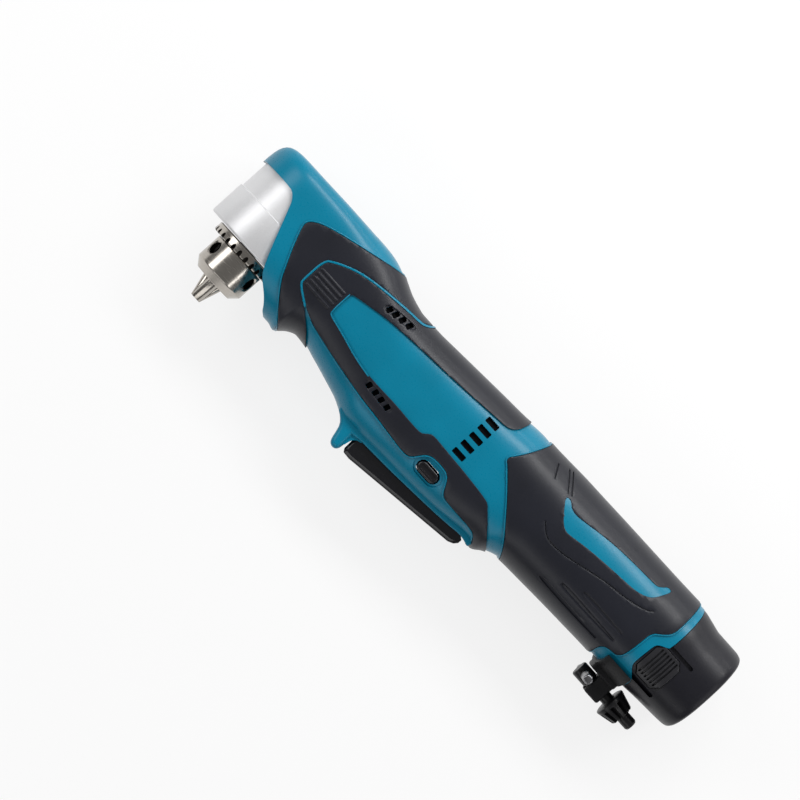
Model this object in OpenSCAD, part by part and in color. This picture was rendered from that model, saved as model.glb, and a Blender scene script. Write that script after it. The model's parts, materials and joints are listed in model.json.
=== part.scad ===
// Cordless right angle drill: clamshell handle with soft grips, aluminium gear
// head, keyed chuck, paddle trigger and a stick battery in the handle.
// Worked in the tool's frame: spindle along Y, motor along X, clamshell seam at
// z = 0. It lies on its right side, left side up.

/* [Overall] */
// Length from the front of the head to the end of the battery
overall_l = 310; // [306:1:325]
// Length of the battery behind the collar of the handle
battery_l = 28; // [24:0.5:32]
// Half height that the side outlines follow
half_h = 25; // [24.5:0.1:26.5]
// Half width that the cross sections follow
half_w = 25; // [24.8:0.1:26.5]
// Wall of the housing halves
wall_t = 2.4; // [2:0.1:2.5]
// Thickness of the soft grips
grip_t = 0.9; // [0.6:0.1:1.2]

/* [Gear head] */
// Outer radius of the gear case at its skirt
case_r = 24.2; // [24:0.1:24.6]
// How much smaller the gear case is above its step
case_step = 0.8; // [0.5:0.1:1]
// Depth of the gear case below the motor axis
case_drop = 17.6; // [17:0.1:18.5]
// Height of the gear case above the motor axis
case_rise = 25.4; // [25:0.1:26]
// Wall of the gear case
case_wall = 3.6; // [3:0.1:4]
// Thickness of the roof of the gear case
case_roof = 5.4; // [4:0.1:6]
// Distance from the spindle axis to the rear face of the gear case
case_l = 38; // [37.5:0.1:39]
// Radius of the rear neck of the gear case
neck_r = 17.5; // [17:0.1:18.5]
// Wall of the plastic cover round the gear case
cover_t = 1.5; // [1.2:0.1:2]
// Thickness of the plastic cover over the gear case
cover_roof = 3.2; // [2.5:0.1:4]
// Radius of the lamp lens in the chin
lens_r = 2.8; // [2:0.1:3]

/* [Gears] */
// Module of the planetary stage
gear_module = 0.8; // [0.79:0.01:0.82]
// Teeth on the sun gear
sun_teeth = 12; // [12:3:12]
// Teeth on each planet gear
planet_teeth = 15; // [15:3:15]
// Wall of the ring gear outside its teeth
ring_wall = 1.9; // [1.5:0.1:2.2]
// Length of the ring gear
ring_l = 14; // [13.5:0.5:16]
// Length of each planet gear
planet_l = 8; // [6:0.5:9]
// Radius of the planet pins
planet_pin_r = 2; // [1.5:0.1:2.5]
// Thickness of the planet carrier
carrier_t = 4; // [3:0.1:4.2]
// Module of the bevel gears at their large end
bevel_module = 1; // [0.98:0.01:1.02]
// Teeth on the bevel pinion
pinion_teeth = 10; // [10:1:10]
// Teeth on the crown gear
crown_teeth = 30; // [30:1:30]
// Radius of the pinion shaft
pinion_shaft_r = 4; // [3.5:0.1:4]
// Radius of the spindle
spindle_r = 6; // [5.5:0.1:6.5]
// Radius of the spindle nose that carries the chuck
nose_r = 4.76; // [4.5:0.01:4.8]

/* [Motor] */
// Radius of the motor can
motor_r = 17.9; // [17:0.1:18]
// Length of the motor can
motor_l = 56; // [54:1:57]
// Wall of the motor can
motor_wall = 1.6; // [1.2:0.1:2]
// Length of the end bell behind the can
bell_l = 8; // [7:0.5:8]
// Thickness of the magnets
magnet_t = 2.6; // [2:0.1:2.8]
// Radius of the motor shaft
motor_shaft_r = 2.5; // [2:0.1:2.6]
// Length of the armature core
core_l = 32; // [28:1:34]
// Radius of the commutator
commutator_r = 6; // [5:0.1:6.5]

/* [Chuck] */
// Radius over the teeth of the chuck ring
tooth_r = 17.4; // [17:0.1:18]
// Height of the toothed ring
tooth_ring_h = 4.6; // [4.4:0.1:5]
// Teeth on the chuck ring
ring_teeth = 27; // [24:1:30]
// Radius of the chuck sleeve
sleeve_r = 13.5; // [13.3:0.1:14]
// Length of the chuck body from its ring to its nose
chuck_l = 21.4; // [21.2:0.1:22.5]
// Radius of the key holes in the sleeve
key_hole_r = 3.2; // [3.15:0.05:3.4]
// Radius of the chuck jaws
jaw_r = 3; // [2.8:0.1:3]
// Slant of the jaws to the spindle
jaw_angle = 18; // [17:0.5:18]
// How far the closed jaws reach past the nose
jaw_reach = 10.6; // [9:0.1:11]

/* [Trigger and switch] */
// Half width of the paddle trigger
lever_half_w = 9; // [8:0.5:9.5]
// Radius of the trigger pin
lever_pin_r = 1.75; // [1.5:0.05:2]
// Length of the switch body
switch_l = 23; // [20:1:23]
// Height of the switch body
switch_h = 10; // [9:0.5:10]
// Width of the switch body
switch_w = 20; // [16:1:22]
// Radius of the switch plunger
plunger_r = 4.6; // [4:0.1:5]
// Length of the reverse button along the handle
reverse_l = 12; // [10:0.5:12]
// Height of the reverse button
reverse_h = 5.8; // [5:0.1:6]

/* [Battery] */
// Radius of a battery cell
cell_r = 9.2; // [9:0.1:9.3]
// Length of a battery cell
cell_l = 65; // [60:1:66]
// Wall of the battery stick
stick_wall = 1.4; // [1:0.1:1.6]
// Wall of the battery shell
shell_t = 2; // [1.6:0.1:2.2]
// Length of a release button along the handle
release_l = 14.6; // [13:0.1:15]
// Height of a release button
release_h = 17.2; // [15:0.1:17.5]

/* [Chuck key] */
// Radius of the key's pilot
pilot_r = 3.1; // [3:0.02:3.12]
// Radius of the key's shaft
key_shaft_r = 3; // [2.5:0.1:3.2]
// Radius of the key's gear at its large end
key_gear_r = 7.6; // [7:0.1:7.8]
// Half length of the key's cross bar
bar_half_l = 20; // [16:0.5:21]
// Radius of the key's cross bar
bar_r = 2.2; // [2:0.1:2.4]

/* [Hidden] */
$fn = 48;

// Colours
teal = [0.0, 0.42, 0.55];
charcoal = [0.17, 0.16, 0.19];
black = [0.06, 0.06, 0.07];
alloy = [0.82, 0.82, 0.8];
steel = [0.7, 0.68, 0.64];
brass = [0.78, 0.62, 0.3];
copper = [0.72, 0.42, 0.25];
clear = [0.9, 0.92, 0.95];

// Clearances and the overrun of cuts
fit_gap = 0.1;
run_gap = 0.05;
move_gap = 0.3;
slide_gap = 0.4;
overrun = 80;

// Housing profile: rows of distance, top, bottom, half width and squareness.
// Distances are shares of body_l, heights of half_h and widths of half_w.
handle_shares = [
  [0.08, 1.16, 1.32, 0.992, 6], [0.12, 1.16, 1.32, 0.984, 5],
  [0.136, 1.16, 1.352, 0.98, 4.6], [0.144, 1.164, 1.252, 0.976, 4.4],
  [0.156, 1.164, 1.136, 0.972, 4.2], [0.172, 1.16, 1.064, 0.968, 3.9],
  [0.192, 1.14, 1.076, 0.96, 3.5], [0.22, 1.064, 1.14, 0.956, 3.2],
  [0.24, 0.98, 1.184, 0.948, 3], [0.26, 0.9, 1.232, 0.936, 2.9],
  [0.28, 0.848, 1.28, 0.92, 2.8], [0.3, 0.816, 1.332, 0.912, 2.7],
  [0.34, 0.816, 1.472, 0.908, 2.6], [0.38, 0.84, 1.48, 0.908, 2.6],
  [0.44, 0.88, 1.448, 0.916, 2.6], [0.5, 0.92, 1.416, 0.928, 2.6],
  [0.56, 0.956, 1.368, 0.948, 2.6], [0.584, 0.992, 1.332, 0.96, 2.6],
  [0.608, 1.008, 1.292, 0.968, 2.6], [0.632, 0.996, 1.264, 0.98, 2.6],
  [0.664, 1.004, 1.304, 0.992, 2.6], [0.684, 1.012, 1.168, 1, 2.6],
  [0.716, 1.024, 1.056, 1.008, 2.5], [0.76, 1.028, 1.032, 1.012, 2.5],
  [0.82, 1.036, 1.004, 1.012, 2.5], [0.88, 1.04, 0.984, 1.012, 2.5],
  [0.944, 1.044, 0.968, 1.008, 2.5], [1.012, 1.056, 0.972, 0.996, 2.5],
  [1.032, 1.06, 0.964, 0.994, 2.5]];
widest_share = 1.012;
chin_share = 1.32;
head_square = 7;
front_angles = [86, 77, 66, 52, 35, 17];
belly_square = 2.6;
around = 32;
around_inside = 20;
shell_fn = 16;
vent_fn = 8;

// Edge of the head cover against the gear case, shares of head_r and half_h
cover_edge_shares = [[-1.4, 0.584], [-0.24, 0.584], [-0.14, 0.548], [-0.05, 0.46], [0, 0.38],
  [0.49, -0.72], [0.64, -0.88], [0.83, -1.02], [0.97, -1.14], [1, -1.24], [1, -2.4], [-1.4, -2.4]];

// Side outlines of the soft grips, shares of body_l and half_h
neck_grip_shares = [[0.24, 1.4], [0.24, 1.088], [0.2, 0.98], [0.164, 0.872], [0.126, 0.762],
  [0.086, 0.64], [0.066, 0.565], [0.054, 0.5], [0.045, 0.42], [0.042, 0.34], [0.046, 0.21],
  [0.062, -0.14], [0.078, -0.44], [0.086, -0.6], [0.104, -0.82], [0.122, -1.02], [0.138, -1.19],
  [0.144, -1.26], [0.144, -1.7], [0.214, -1.7], [0.21, -1.28], [0.199, -1.104], [0.184, -0.92],
  [0.164, -0.76], [0.149, -0.64], [0.134, -0.555], [0.118, -0.46], [0.111, -0.38], [0.111, 0.168],
  [0.126, 0.29], [0.145, 0.39], [0.164, 0.48], [0.184, 0.54], [0.203, 0.582], [0.222, 0.615],
  [0.242, 0.645], [0.261, 0.677], [0.281, 0.7], [0.3, 0.716], [0.312, 0.735], [0.324, 0.83],
  [0.332, 1], [0.332, 1.4]];
side_panel_shares = [[0.115, 0.15], [0.127, 0.25], [0.145, 0.35], [0.164, 0.44], [0.184, 0.5],
  [0.203, 0.543], [0.242, 0.606], [0.281, 0.66], [0.3, 0.676], [0.316, 0.7], [0.33, 0.81],
  [0.338, 0.96], [0.338, 1.4], [0.572, 1.4], [0.572, 1], [0.569, 0.87], [0.565, 0.75], [0.557, 0.65],
  [0.545, 0.583], [0.518, 0.56], [0.479, 0.51], [0.44, 0.47], [0.4, 0.43], [0.341, 0.384],
  [0.302, 0.345], [0.262, 0.294], [0.223, 0.207], [0.193, 0.138], [0.189, 0.098], [0.189, -0.34],
  [0.193, -0.38], [0.223, -0.437], [0.262, -0.528], [0.29, -0.582], [0.321, -0.614],
  [0.388, -0.595], [0.42, -0.613], [0.451, -0.613], [0.459, -0.537], [0.468, -0.458],
  [0.498, -0.478], [0.537, -0.49], [0.588, -0.517], [0.615, -0.545], [0.625, -0.577],
  [0.682, -1.115], [0.698, -1.28], [0.698, -1.7], [0.662, -1.7], [0.66, -1.28], [0.65, -1.13],
  [0.638, -1.08], [0.598, -1.08], [0.566, -1.072], [0.558, -1.024], [0.55, -0.894], [0.542, -0.775],
  [0.53, -0.716], [0.503, -0.716], [0.489, -0.756], [0.479, -0.874], [0.471, -1.012],
  [0.459, -1.064], [0.42, -1.032], [0.38, -0.992], [0.341, -0.972], [0.302, -0.925], [0.263, -0.873],
  [0.224, -0.814], [0.185, -0.747], [0.157, -0.655], [0.136, -0.524], [0.12, -0.434],
  [0.115, -0.362]];
rear_grip_shares = [[0.626, 1.4], [0.626, 1.01], [0.62, 0.87], [0.613, 0.71], [0.603, 0.513],
  [0.591, 0.316], [0.587, 0.256], [0.589, 0.197], [0.595, 0.158], [0.634, -0.197], [0.673, -0.592],
  [0.693, -0.792], [0.712, -1.03], [0.718, -1.14], [0.718, -1.7], [0.946, -1.7], [0.944, -1],
  [0.941, -0.82], [0.947, -0.715], [0.958, -0.674], [0.971, -0.672], [0.978, -0.595],
  [0.981, -0.476], [0.982, -0.2], [0.983, 0.018], [0.987, 0.097], [0.997, 0.176], [1.008, 0.294],
  [1.011, 0.393], [1.012, 0.59], [1.013, 0.87], [1.014, 1.06], [1.014, 1.4]];
// Rear edge of the housing where the battery shell begins
collar_edge_shares = [[1.028, 1.6], [1.028, 0.128], [1.02, 0.072], [1.01, 0.024], [1.004, -0.04],
  [1.003, -0.2], [1.002, -0.48], [1.005, -0.58], [1.014, -0.664], [1.024, -0.74], [1.028, -0.8],
  [1.028, -1.6], [1.3, -1.6], [1.3, 1.6]];
// Rows of vents: centre of each slot, then half length and radius as shares of half_h
upper_vent_shares = [[0.253, 0.44], [0.267, 0.462], [0.282, 0.486], [0.298, 0.51]];
lower_vent_shares = [[0.328, -0.715], [0.345, -0.724], [0.361, -0.734], [0.378, -0.746]];
rear_vent_shares = [[0.524, 0.44], [0.524, 0.248], [0.524, 0.05], [0.524, -0.156], [0.524, -0.358]];
slant_share = 0.012;
short_vent_share = 0.032;
long_vent_share = 0.084;
vent_r_share = 0.045;

// Gear head
head_r = case_r - case_step + fit_gap + cover_t;
head_top = case_rise + fit_gap + cover_roof;
// Handle length that the side outlines follow, from the spindle axis
collar_share = 1.028;
battery_end = overall_l - head_r;
collar_x = battery_end - battery_l;
body_l = collar_x / collar_share;
case_bore = case_r - case_step - case_wall;
case_step_y = -0.5;
box_lip = 1.2;
flange_t = 3;
bush_l = 8;
bush_wall = 3;
journal_step = 1;
journal_r = spindle_r - journal_step;
boss_wall = 3;

// Bearings: 12 x 28 x 8 on the spindle and 8 x 22 x 7 on the pinion
spindle_bearing_r = 14;
spindle_bearing_l = 8;
pinion_bearing_r = 11;
pinion_bearing_l = 7;
race_t = 2.4;
race_depth = 0.6;
bearing_y = -case_drop + box_lip;
pinion_bearing_x = 18;

// Planetary stage
pressure_angle = 25;
stub_share = 0.8;
root_share = 1;
backlash = 0.16;
planet_count = 3;
ring_gear_teeth = sun_teeth + 2 * planet_teeth;
sun_pitch_r = gear_module * sun_teeth / 2;
planet_pitch_r = gear_module * planet_teeth / 2;
ring_pitch_r = gear_module * ring_gear_teeth / 2;
planet_a = sun_pitch_r + planet_pitch_r;
ring_r = ring_pitch_r + gear_module * root_share + ring_wall;
carrier_drop_share = 1.6;
carrier_r = ring_pitch_r - carrier_drop_share * gear_module;
carrier_recess = 2;
carrier_x = case_l - carrier_recess;
planet_x = carrier_x + carrier_t + slide_gap;
flank_steps = 4;

// Bevel pair, pitch cones meeting where the two axes cross
pinion_pitch_r = bevel_module * pinion_teeth / 2;
crown_pitch_r = bevel_module * crown_teeth / 2;
pinion_face_share = 0.4;
crown_back_share = 1.24;
pinion_tip_share = 0.55;
pinion_root_share = 0.95;
crown_tip_share = 1.5;
crown_root_share = 2.6;
bevel_backlash = 0.3;
pinion_flank_share = 0.34;
crown_flank_share = 0.12;
crown_rim = 1.6;
crown_y = bearing_y + spindle_bearing_l + run_gap;

// Motor
motor_x = case_l + ring_l + move_gap;
bell_x = motor_x + motor_l;
magnet_extra = 6;
magnet_l = core_l + magnet_extra;
magnet_span = 120;
bell_plug = 6;
core_x = (motor_x + motor_wall + bell_x - bell_plug - core_l) / 2;
air_gap = 0.5;
core_r = motor_r - motor_wall - magnet_t - fit_gap - air_gap;
slot_count = 5;
slot_half = 1.2;
slot_depth = 5;
winding_t = 4;
winding_r_share = 0.78;
commutator_l = 9;
commutator_back = 4;
commutator_x = bell_x - commutator_back;
brush_w = 4;
brush_x = commutator_x + brush_w / 2;
brush_l = 7;
bell_rear_t = 3;
bell_bore_share = 0.72;
sun_extra = 1;
sun_l = planet_l + sun_extra;

// Chuck
chuck_gap = 0.4;
chuck_top = -case_drop - chuck_gap;
ring_bottom = chuck_top - tooth_ring_h;
chuck_nose = chuck_top - chuck_l;
jaw_tip = chuck_nose - jaw_reach;
tooth_depth_share = 0.55;
tooth_width_share = 0.36;
sleeve_top_wall = 1.9;
sleeve_nut_wall = 3;
sleeve_nose_wall = 4.5;
core_top_r = sleeve_r - sleeve_top_wall;
nut_seat_r = sleeve_r - sleeve_nut_wall;
nose_ring_r = sleeve_r - sleeve_nose_wall;
chamfer_h = 3.9;
chamfer_w = 3.5;
nut_h = 4.3;
nut_wall_gap = 0.12;
nut_up = 3.5;
nut_bottom = chuck_nose + nut_up;
nut_top = nut_bottom + nut_h;
key_drop = 5.4;
key_y = ring_bottom - key_drop;
key_groove_depth = 2;
key_chamfer = 0.8;
bit_bore_r = 3.2;
nose_l = 5.4;
jaw_axis_r = -0.5;
jaw_top = nut_top - slide_gap;
jaw_l = (jaw_top - jaw_tip) / cos(jaw_angle);
jaw_split = 0.12;
key_azimuth = 51;
jaw_azimuth = key_azimuth + 60;

// Paddle trigger and switch, shares of body_l and half_h
lever_shares = [[0.386, -1.6], [0.386, -1.8], [0.39, -1.87], [0.4, -1.872], [0.628, -1.548],
  [0.638, -1.5], [0.644, -1.42], [0.636, -1.3], [0.634, -1.16], [0.624, -1.03], [0.612, -1.06],
  [0.604, -1.2], [0.598, -1.328], [0.56, -1.38], [0.5, -1.43], [0.474, -1.452], [0.47, -1.412],
  [0.428, -1.412], [0.424, -1.462], [0.395, -1.484]];
hook_shares = [[0.336, -1.36], [0.388, -1.36]];
hook_tip_shares = [0.365, -1.83];
hook_tip_r = 3;
pivot_shares = [0.62, -1.16];
pivot = [pivot_shares[0] * body_l, pivot_shares[1] * half_h];
pin_half_l = 12.5;
ear_space = 6;
slot_shares = [0.379, 0.647];
slot_top_share = 1.2;
switch_shares = [0.388, -1.2];
switch_x = switch_shares[0] * body_l;
switch_y = switch_shares[1] * half_h;
plunger_in = 15.2;
plunger_x = switch_x + plunger_in;
plunger_y_share = -1.404;
plunger_y = plunger_y_share * half_h;
plunger_l = 6;
plunger_cup = 3.4;
plunger_floor = 1.2;
switch_roof = 1.5;
spring_r = 2.9;
spring_wire = 0.4;
spring_turns = 7;
reverse_shares = [0.511, -0.972];
reverse_x = reverse_shares[0] * body_l;
reverse_y = reverse_shares[1] * half_h;
reverse_half = 20.4;
reverse_rim = 1.4;
reverse_travel = 3.5;
arm_h = 2;
arm_half = 1.5;
arm_l = 2.2;

// Lamp in the chin
lamp_shares = [0.116, -1.32];
lamp_x = lamp_shares[0] * body_l;
lamp_floor = lamp_shares[1] * half_h;
lamp_l = 3.4;
board_t = 1.2;
board_l = 10;
board_w = 12;

// Housing screws: places, shares of body_l and half_h
screw_shares = [[0.192, 0.952], [0.164, -0.896], [0.336, -1.22], [0.496, 0.688],
  [0.672, 0.82], [0.672, -0.96]];
screw_r = 1.5;
screw_head_r = 2.8;
screw_head_h = 2;
screw_seat = 10;
screw_reach = 8;
screw_boss_r = 3.2;
screw_fn = 10;

// Ribs across the inside of the housing: front face of each, shares of body_l
rib_shares = [0.108, 0.176, 0.24, 0.4, 0.688];
rib_t = 2;

// Battery and its terminals
cell_ring_r = (cell_r + run_gap) * 2 / sqrt(3);
stick_in = cell_ring_r + cell_r + fit_gap;
stick_r = stick_in + stick_wall;
stick_end = collar_x - fit_gap - slide_gap;
stick_front_t = 2;
spigot_l = 8;
web_t = 2.5;
web_x = collar_x + web_t;
cell_gap = 0.5;
cell_x = web_x - spigot_l - cell_gap - cell_l;
cell_in = 10;
stick_x = cell_x - cell_in;
battery_shares = [[-0.25, 1.052, 0.96, 0.984], [0.04, 1.05, 0.952, 0.984], [0.25, 1.012, 0.932, 0.968],
  [0.46, 0.972, 0.916, 0.956], [0.82, 0.972, 0.892, 0.944], [0.93, 0.94, 0.86, 0.91],
  [0.98, 0.87, 0.79, 0.84], [1, 0.78, 0.7, 0.75]];
battery_square = 2.5;
spigot_r = stick_in - fit_gap;
spigot_wall = 1.8;
web_bore_r = 8;
block_l = 14;
block_gap = 2;
block_x = stick_x - block_gap - block_l;
block_h = 18;
block_w = 26;
blade_l = 10;
blade_h = 7;
blade_t = 1;
blade_pitch = 8;
clip_t = 0.6;
clip_l = 7;
release_in = 2.4;
release_x = collar_x + release_in;
release_y_share = -0.268;
release_y = release_y_share * half_h;
release_corner = 3;
release_proud = 0.4;
release_low = 18.5;
release_flange = 0.9;
release_flange_t = 1;
release_travel = 2;
release_ribs = 4;
release_rib_h = 0.5;
window_room = 1.2;
release_window_z = release_low - release_travel - window_room;
ledge_z = 13.4;
ledge_t = 2.4;
ledge_half = 3.4;
ledge_l = 8;
release_spring_r = 1.9;
release_spring_turns = 3;

// Chuck key in its holder
key_axis_share = 1.32;
key_axis_y = -key_axis_share * half_h;
holder_shares = [0.965, 1.024];
saddle_t = 2;
saddle_top_share = 0.76;
stem_half = 6;
clip_drop = 5;
clip_shares = [0.99, 1.024];
clip_x = clip_shares[0] * body_l;
clip_end = clip_shares[1] * body_l;
hub_r = 4;
hub_l = 8;
hub_gap = 0.25;
hub_x = clip_x - hub_gap - hub_l;
key_gear_share = 1.038;
gear_x = key_gear_share * body_l;
gear_l = 9;
gear_small_share = 0.72;
key_teeth = 11;
key_tooth_depth = 2;
pilot_l = 6.3;

// Leads, from where each starts down to the top of the switch: shares of the way
// along, or of motor_lead_reach, and of the way down
power_lead_shares = [[0, 0], [0.03, 0.01], [0.06, 0.08], [0.07, 0.25], [0.08, 0.6], [0.1, 0.85],
  [0.15, 0.98], [0.3, 1], [1, 1]];
motor_lead_shares = [[0, 0], [0.45, 0.02], [0.85, 0.1], [1, 0.26], [1, 0.85]];
motor_turn_shares = [[0.3, 0.945], [0.75, 0.99], [1.55, 1]];
lead_r = 0.9;
lead_in = 2;
power_lead_y = -4;
power_lead_z = 7;
motor_lead_y = -8;
motor_lead_z = 4;
motor_lead_reach = 1.6;
lead_low = switch_y + switch_h + lead_r + fit_gap;
lead_sides = 8;

// The origin is under the middle of the part's box
part_front = -head_r;
top_row_share = 1.164;
place_x = (battery_end + part_front) / 2;
place_y = (top_row_share * half_h + jaw_tip) / 2;
place_z = widest_share * half_w + grip_t;

// Small helpers

function mm(shares) = [for (p = shares) [p[0] * body_l, p[1] * half_h]];

function secant(rows, i, c) = (rows[i + 1][c] - rows[i][c]) / (rows[i + 1][0] - rows[i][0]);

function slope(rows, i, c) =
  let (last = len(rows) - 1)
  i == 0 ? secant(rows, 0, c) : i == last ? secant(rows, last - 1, c) :
  let (a = secant(rows, i - 1, c), b = secant(rows, i, c))
  a * b <= 0 ? 0 : 2 * a * b / (a + b);

function between(rows, i, c, t) =
  let (w = rows[i + 1][0] - rows[i][0])
  c == 0 ? rows[i][0] + w * t :
  rows[i][c] * (2 * pow(t, 3) - 3 * pow(t, 2) + 1) + rows[i + 1][c] * (3 * pow(t, 2) - 2 * pow(t, 3))
  + w * slope(rows, i, c) * (pow(t, 3) - 2 * pow(t, 2) + t)
  + w * slope(rows, i + 1, c) * (pow(t, 3) - pow(t, 2));

function smooth_rows(rows, parts) = concat(
  [for (i = [0 : len(rows) - 2]) for (k = [0 : parts - 1])
    [for (c = [0 : len(rows[0]) - 1]) between(rows, i, c, k / parts)]],
  [rows[len(rows) - 1]]);

function power(v, p) = sign(v) * pow(abs(v), p);

// One closed section: top, bottom and half width in millimetres
function section(x, top, bottom, w, square, count) =
  [for (j = [0 : count - 1])
    let (a = 360 * j / count, n = sin(a) >= 0 ? square : belly_square)
    [x, (sin(a) >= 0 ? top : bottom) * power(sin(a), 2 / n), w * power(cos(a), 2 / n)]];

module skin_over(rings) {
  count = len(rings[0]);
  last = len(rings) - 1;
  polyhedron(
    points = [for (r = rings) each r],
    faces = concat(
      [for (i = [0 : last - 1]) for (j = [0 : count - 1])
        let (a = i * count + j, b = i * count + (j + 1) % count)
        each [[a, b, b + count], [a, b + count, a + count]]],
      [[for (j = [0 : count - 1]) count - 1 - j]],
      [[for (j = [0 : count - 1]) last * count + j]]));
}

// The handle's form, grown by a thickness or shrunk for its inside. Its front
// is round about the spindle axis, with sections at a few angles round it.
module handle_form(grow, count, parts) {
  rows = smooth_rows(concat(
    [[0, head_top / half_h, chin_share, head_r / half_w, head_square]], handle_shares), parts);
  skin_over(concat(
    [for (a = front_angles)
      section(-(head_r + grow) * sin(a),
        (head_top + grow) * pow(1 - pow(sin(a), head_square), 1 / head_square),
        chin_share * half_h + grow, (head_r + grow) * cos(a), head_square, count)],
    [for (r = rows)
      section(r[0] * body_l, r[1] * half_h + grow, r[2] * half_h + grow,
        r[3] * half_w + grow, r[4], count)]));
}

module battery_form(grow, stop) {
  span = battery_end - collar_x;
  rows = smooth_rows(battery_shares, 1);
  skin_over([for (r = rows)
    section(min(collar_x + r[0] * span, stop), r[1] * half_h + grow, r[2] * half_h + grow,
      r[3] * half_w + grow, battery_square, around_inside)]);
}

module along_x(x) translate([x, 0, 0]) rotate([0, 90, 0]) children();
module along_y(y) translate([0, y, 0]) rotate([-90, 0, 0]) children();
module disc_x(x, l, r) along_x(x) cylinder(h = l, r = r);
module disc_y(y, l, r) along_y(y) cylinder(h = l, r = r);
module prism(points, low, high) translate([0, 0, low]) linear_extrude(high - low) polygon(points);
module block(low, high) translate(low) cube(high - low);
module both_sides() {
  children();
  mirror([0, 0, 1]) children();
}

module tube_x(x, l, outer, inner) difference() {
  disc_x(x, l, outer);
  disc_x(x - overrun, l + 2 * overrun, inner);
}

module tube_y(y, l, outer, inner) difference() {
  disc_y(y, l, outer);
  disc_y(y - overrun, l + 2 * overrun, inner);
}

// Slot with round ends through the left wall, leaning by a share of its length
module vent(centre, half, lean) {
  r = vent_r_share * half_h;
  hull() for (s = [-1, 1])
    translate([centre[0] * body_l + s * lean, centre[1] * half_h + s * half, 0])
      cylinder(h = overrun, r = r, $fn = vent_fn);
}

module long_vent(centre) {
  r = vent_r_share * half_h;
  half = long_vent_share * half_h;
  hull() for (s = [-1, 1])
    translate([centre[0] * body_l + s * half, centre[1] * half_h, 0])
      cylinder(h = overrun, r = r, $fn = vent_fn);
}

module vents() {
  for (c = upper_vent_shares) vent(c, short_vent_share * half_h, slant_share * half_h);
  for (c = lower_vent_shares) vent(c, short_vent_share * half_h, slant_share * half_h);
  for (c = rear_vent_shares) long_vent(c);
}

module reverse_outline(grow) {
  half = (reverse_l - reverse_h) / 2;
  hull() for (s = [-1, 1]) translate([reverse_x + s * half, reverse_y]) circle(r = reverse_h / 2 + grow);
}

// Spaces that the housing leaves free for what it holds

// Radius of a many sided hole whose flats clear a round piece of radius r
function room_r(r) = (r + fit_gap) / cos(180 / shell_fn);
function screw_room_r(r) = (r + fit_gap) / cos(180 / screw_fn);

module case_space() {
  disc_y(case_step_y, case_rise + fit_gap - case_step_y, room_r(case_r - case_step));
  disc_y(-overrun, overrun + case_step_y + fit_gap, room_r(case_r));
  disc_x(0, case_l, room_r(neck_r));
  disc_x(case_l - flange_t - fit_gap, ring_l + flange_t + 2 * fit_gap, room_r(ring_r));
}

module motor_space() disc_x(motor_x - fit_gap, motor_l + bell_l + 2 * fit_gap, room_r(motor_r));

module lever_space() {
  half = lever_half_w + slide_gap;
  block([slot_shares[0] * body_l, -overrun, -half],
    [slot_shares[1] * body_l, -slot_top_share * half_h, half]);
  translate([pivot[0], pivot[1], -half]) cylinder(h = 2 * half, r = lever_pin_r + ear_space);
}

module switch_space() block(
  [switch_x - fit_gap, switch_y - overrun, -switch_w / 2 - fit_gap],
  [switch_x + switch_l + fit_gap, switch_y + switch_h + fit_gap, switch_w / 2 + fit_gap]);

module terminal_space() block(
  [block_x - fit_gap, -block_h / 2 - fit_gap, -block_w / 2 - fit_gap],
  [stick_x, block_h / 2 + fit_gap, block_w / 2 + fit_gap]);

module lead_space() block(
  [min(bell_x + bell_l, switch_x + switch_l), -half_h, -switch_w / 2], [block_x, 0, switch_w / 2]);

module lamp_space() {
  translate([lamp_x, 0, 0]) disc_y(-overrun, overrun + lamp_floor + lamp_l + board_t, room_r(lens_r));
  block([lamp_x - board_l / 2 - fit_gap, lamp_floor + lamp_l, -board_w / 2 - fit_gap],
    [lamp_x + board_l / 2 + fit_gap, lamp_floor + lamp_l + board_t + fit_gap, board_w / 2 + fit_gap]);
}

module inside_form() difference() {
  handle_form(-wall_t, around_inside, 1);
  for (s = rib_shares) block([s * body_l, -overrun, -overrun], [s * body_l + rib_t, overrun, overrun]);
  for (p = mm(screw_shares)) translate([p[0], p[1], 0])
    cylinder(h = overrun, r = screw_boss_r, $fn = screw_fn);
}

module hook() {
  top = mm(hook_shares);
  tip = [hook_tip_shares[0] * body_l, hook_tip_shares[1] * half_h];
  hull() {
    translate([tip[0], tip[1], 0]) cylinder(h = lever_half_w, r = hook_tip_r, $fn = 32);
    prism([top[0], top[1], [top[1][0], top[1][1] - hook_tip_r], [top[0][0], top[0][1] - hook_tip_r]],
      0, lever_half_w);
  }
}

// Left half of the housing, before its screw holes
module half_shell() difference() {
  $fn = shell_fn;
  intersection() {
    union() {
      handle_form(0, around, 1);
      hook();
    }
    block([-overrun, -overrun, 0], [overall_l, overrun, overrun]);
  }
  inside_form();
  prism([for (p = cover_edge_shares) [p[0] * head_r, p[1] * half_h]], -overrun, overrun);
  prism(mm(collar_edge_shares), -overrun, overrun);
  case_space();
  motor_space();
  lever_space();
  switch_space();
  terminal_space();
  lead_space();
  lamp_space();
  vents();
  disc_x(stick_x - move_gap, overall_l, stick_r + slide_gap);
  translate([0, 0, -overrun]) linear_extrude(2 * overrun) reverse_outline(slide_gap);
  translate([pivot[0], pivot[1], 0]) cylinder(h = pin_half_l + fit_gap, r = lever_pin_r + fit_gap);
}

module housing_left() color(teal) difference() {
  half_shell();
  for (p = mm(screw_shares)) translate([p[0], p[1], -overrun])
    cylinder(h = overrun + screw_reach + move_gap, r = screw_room_r(screw_r), $fn = screw_fn);
}

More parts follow.
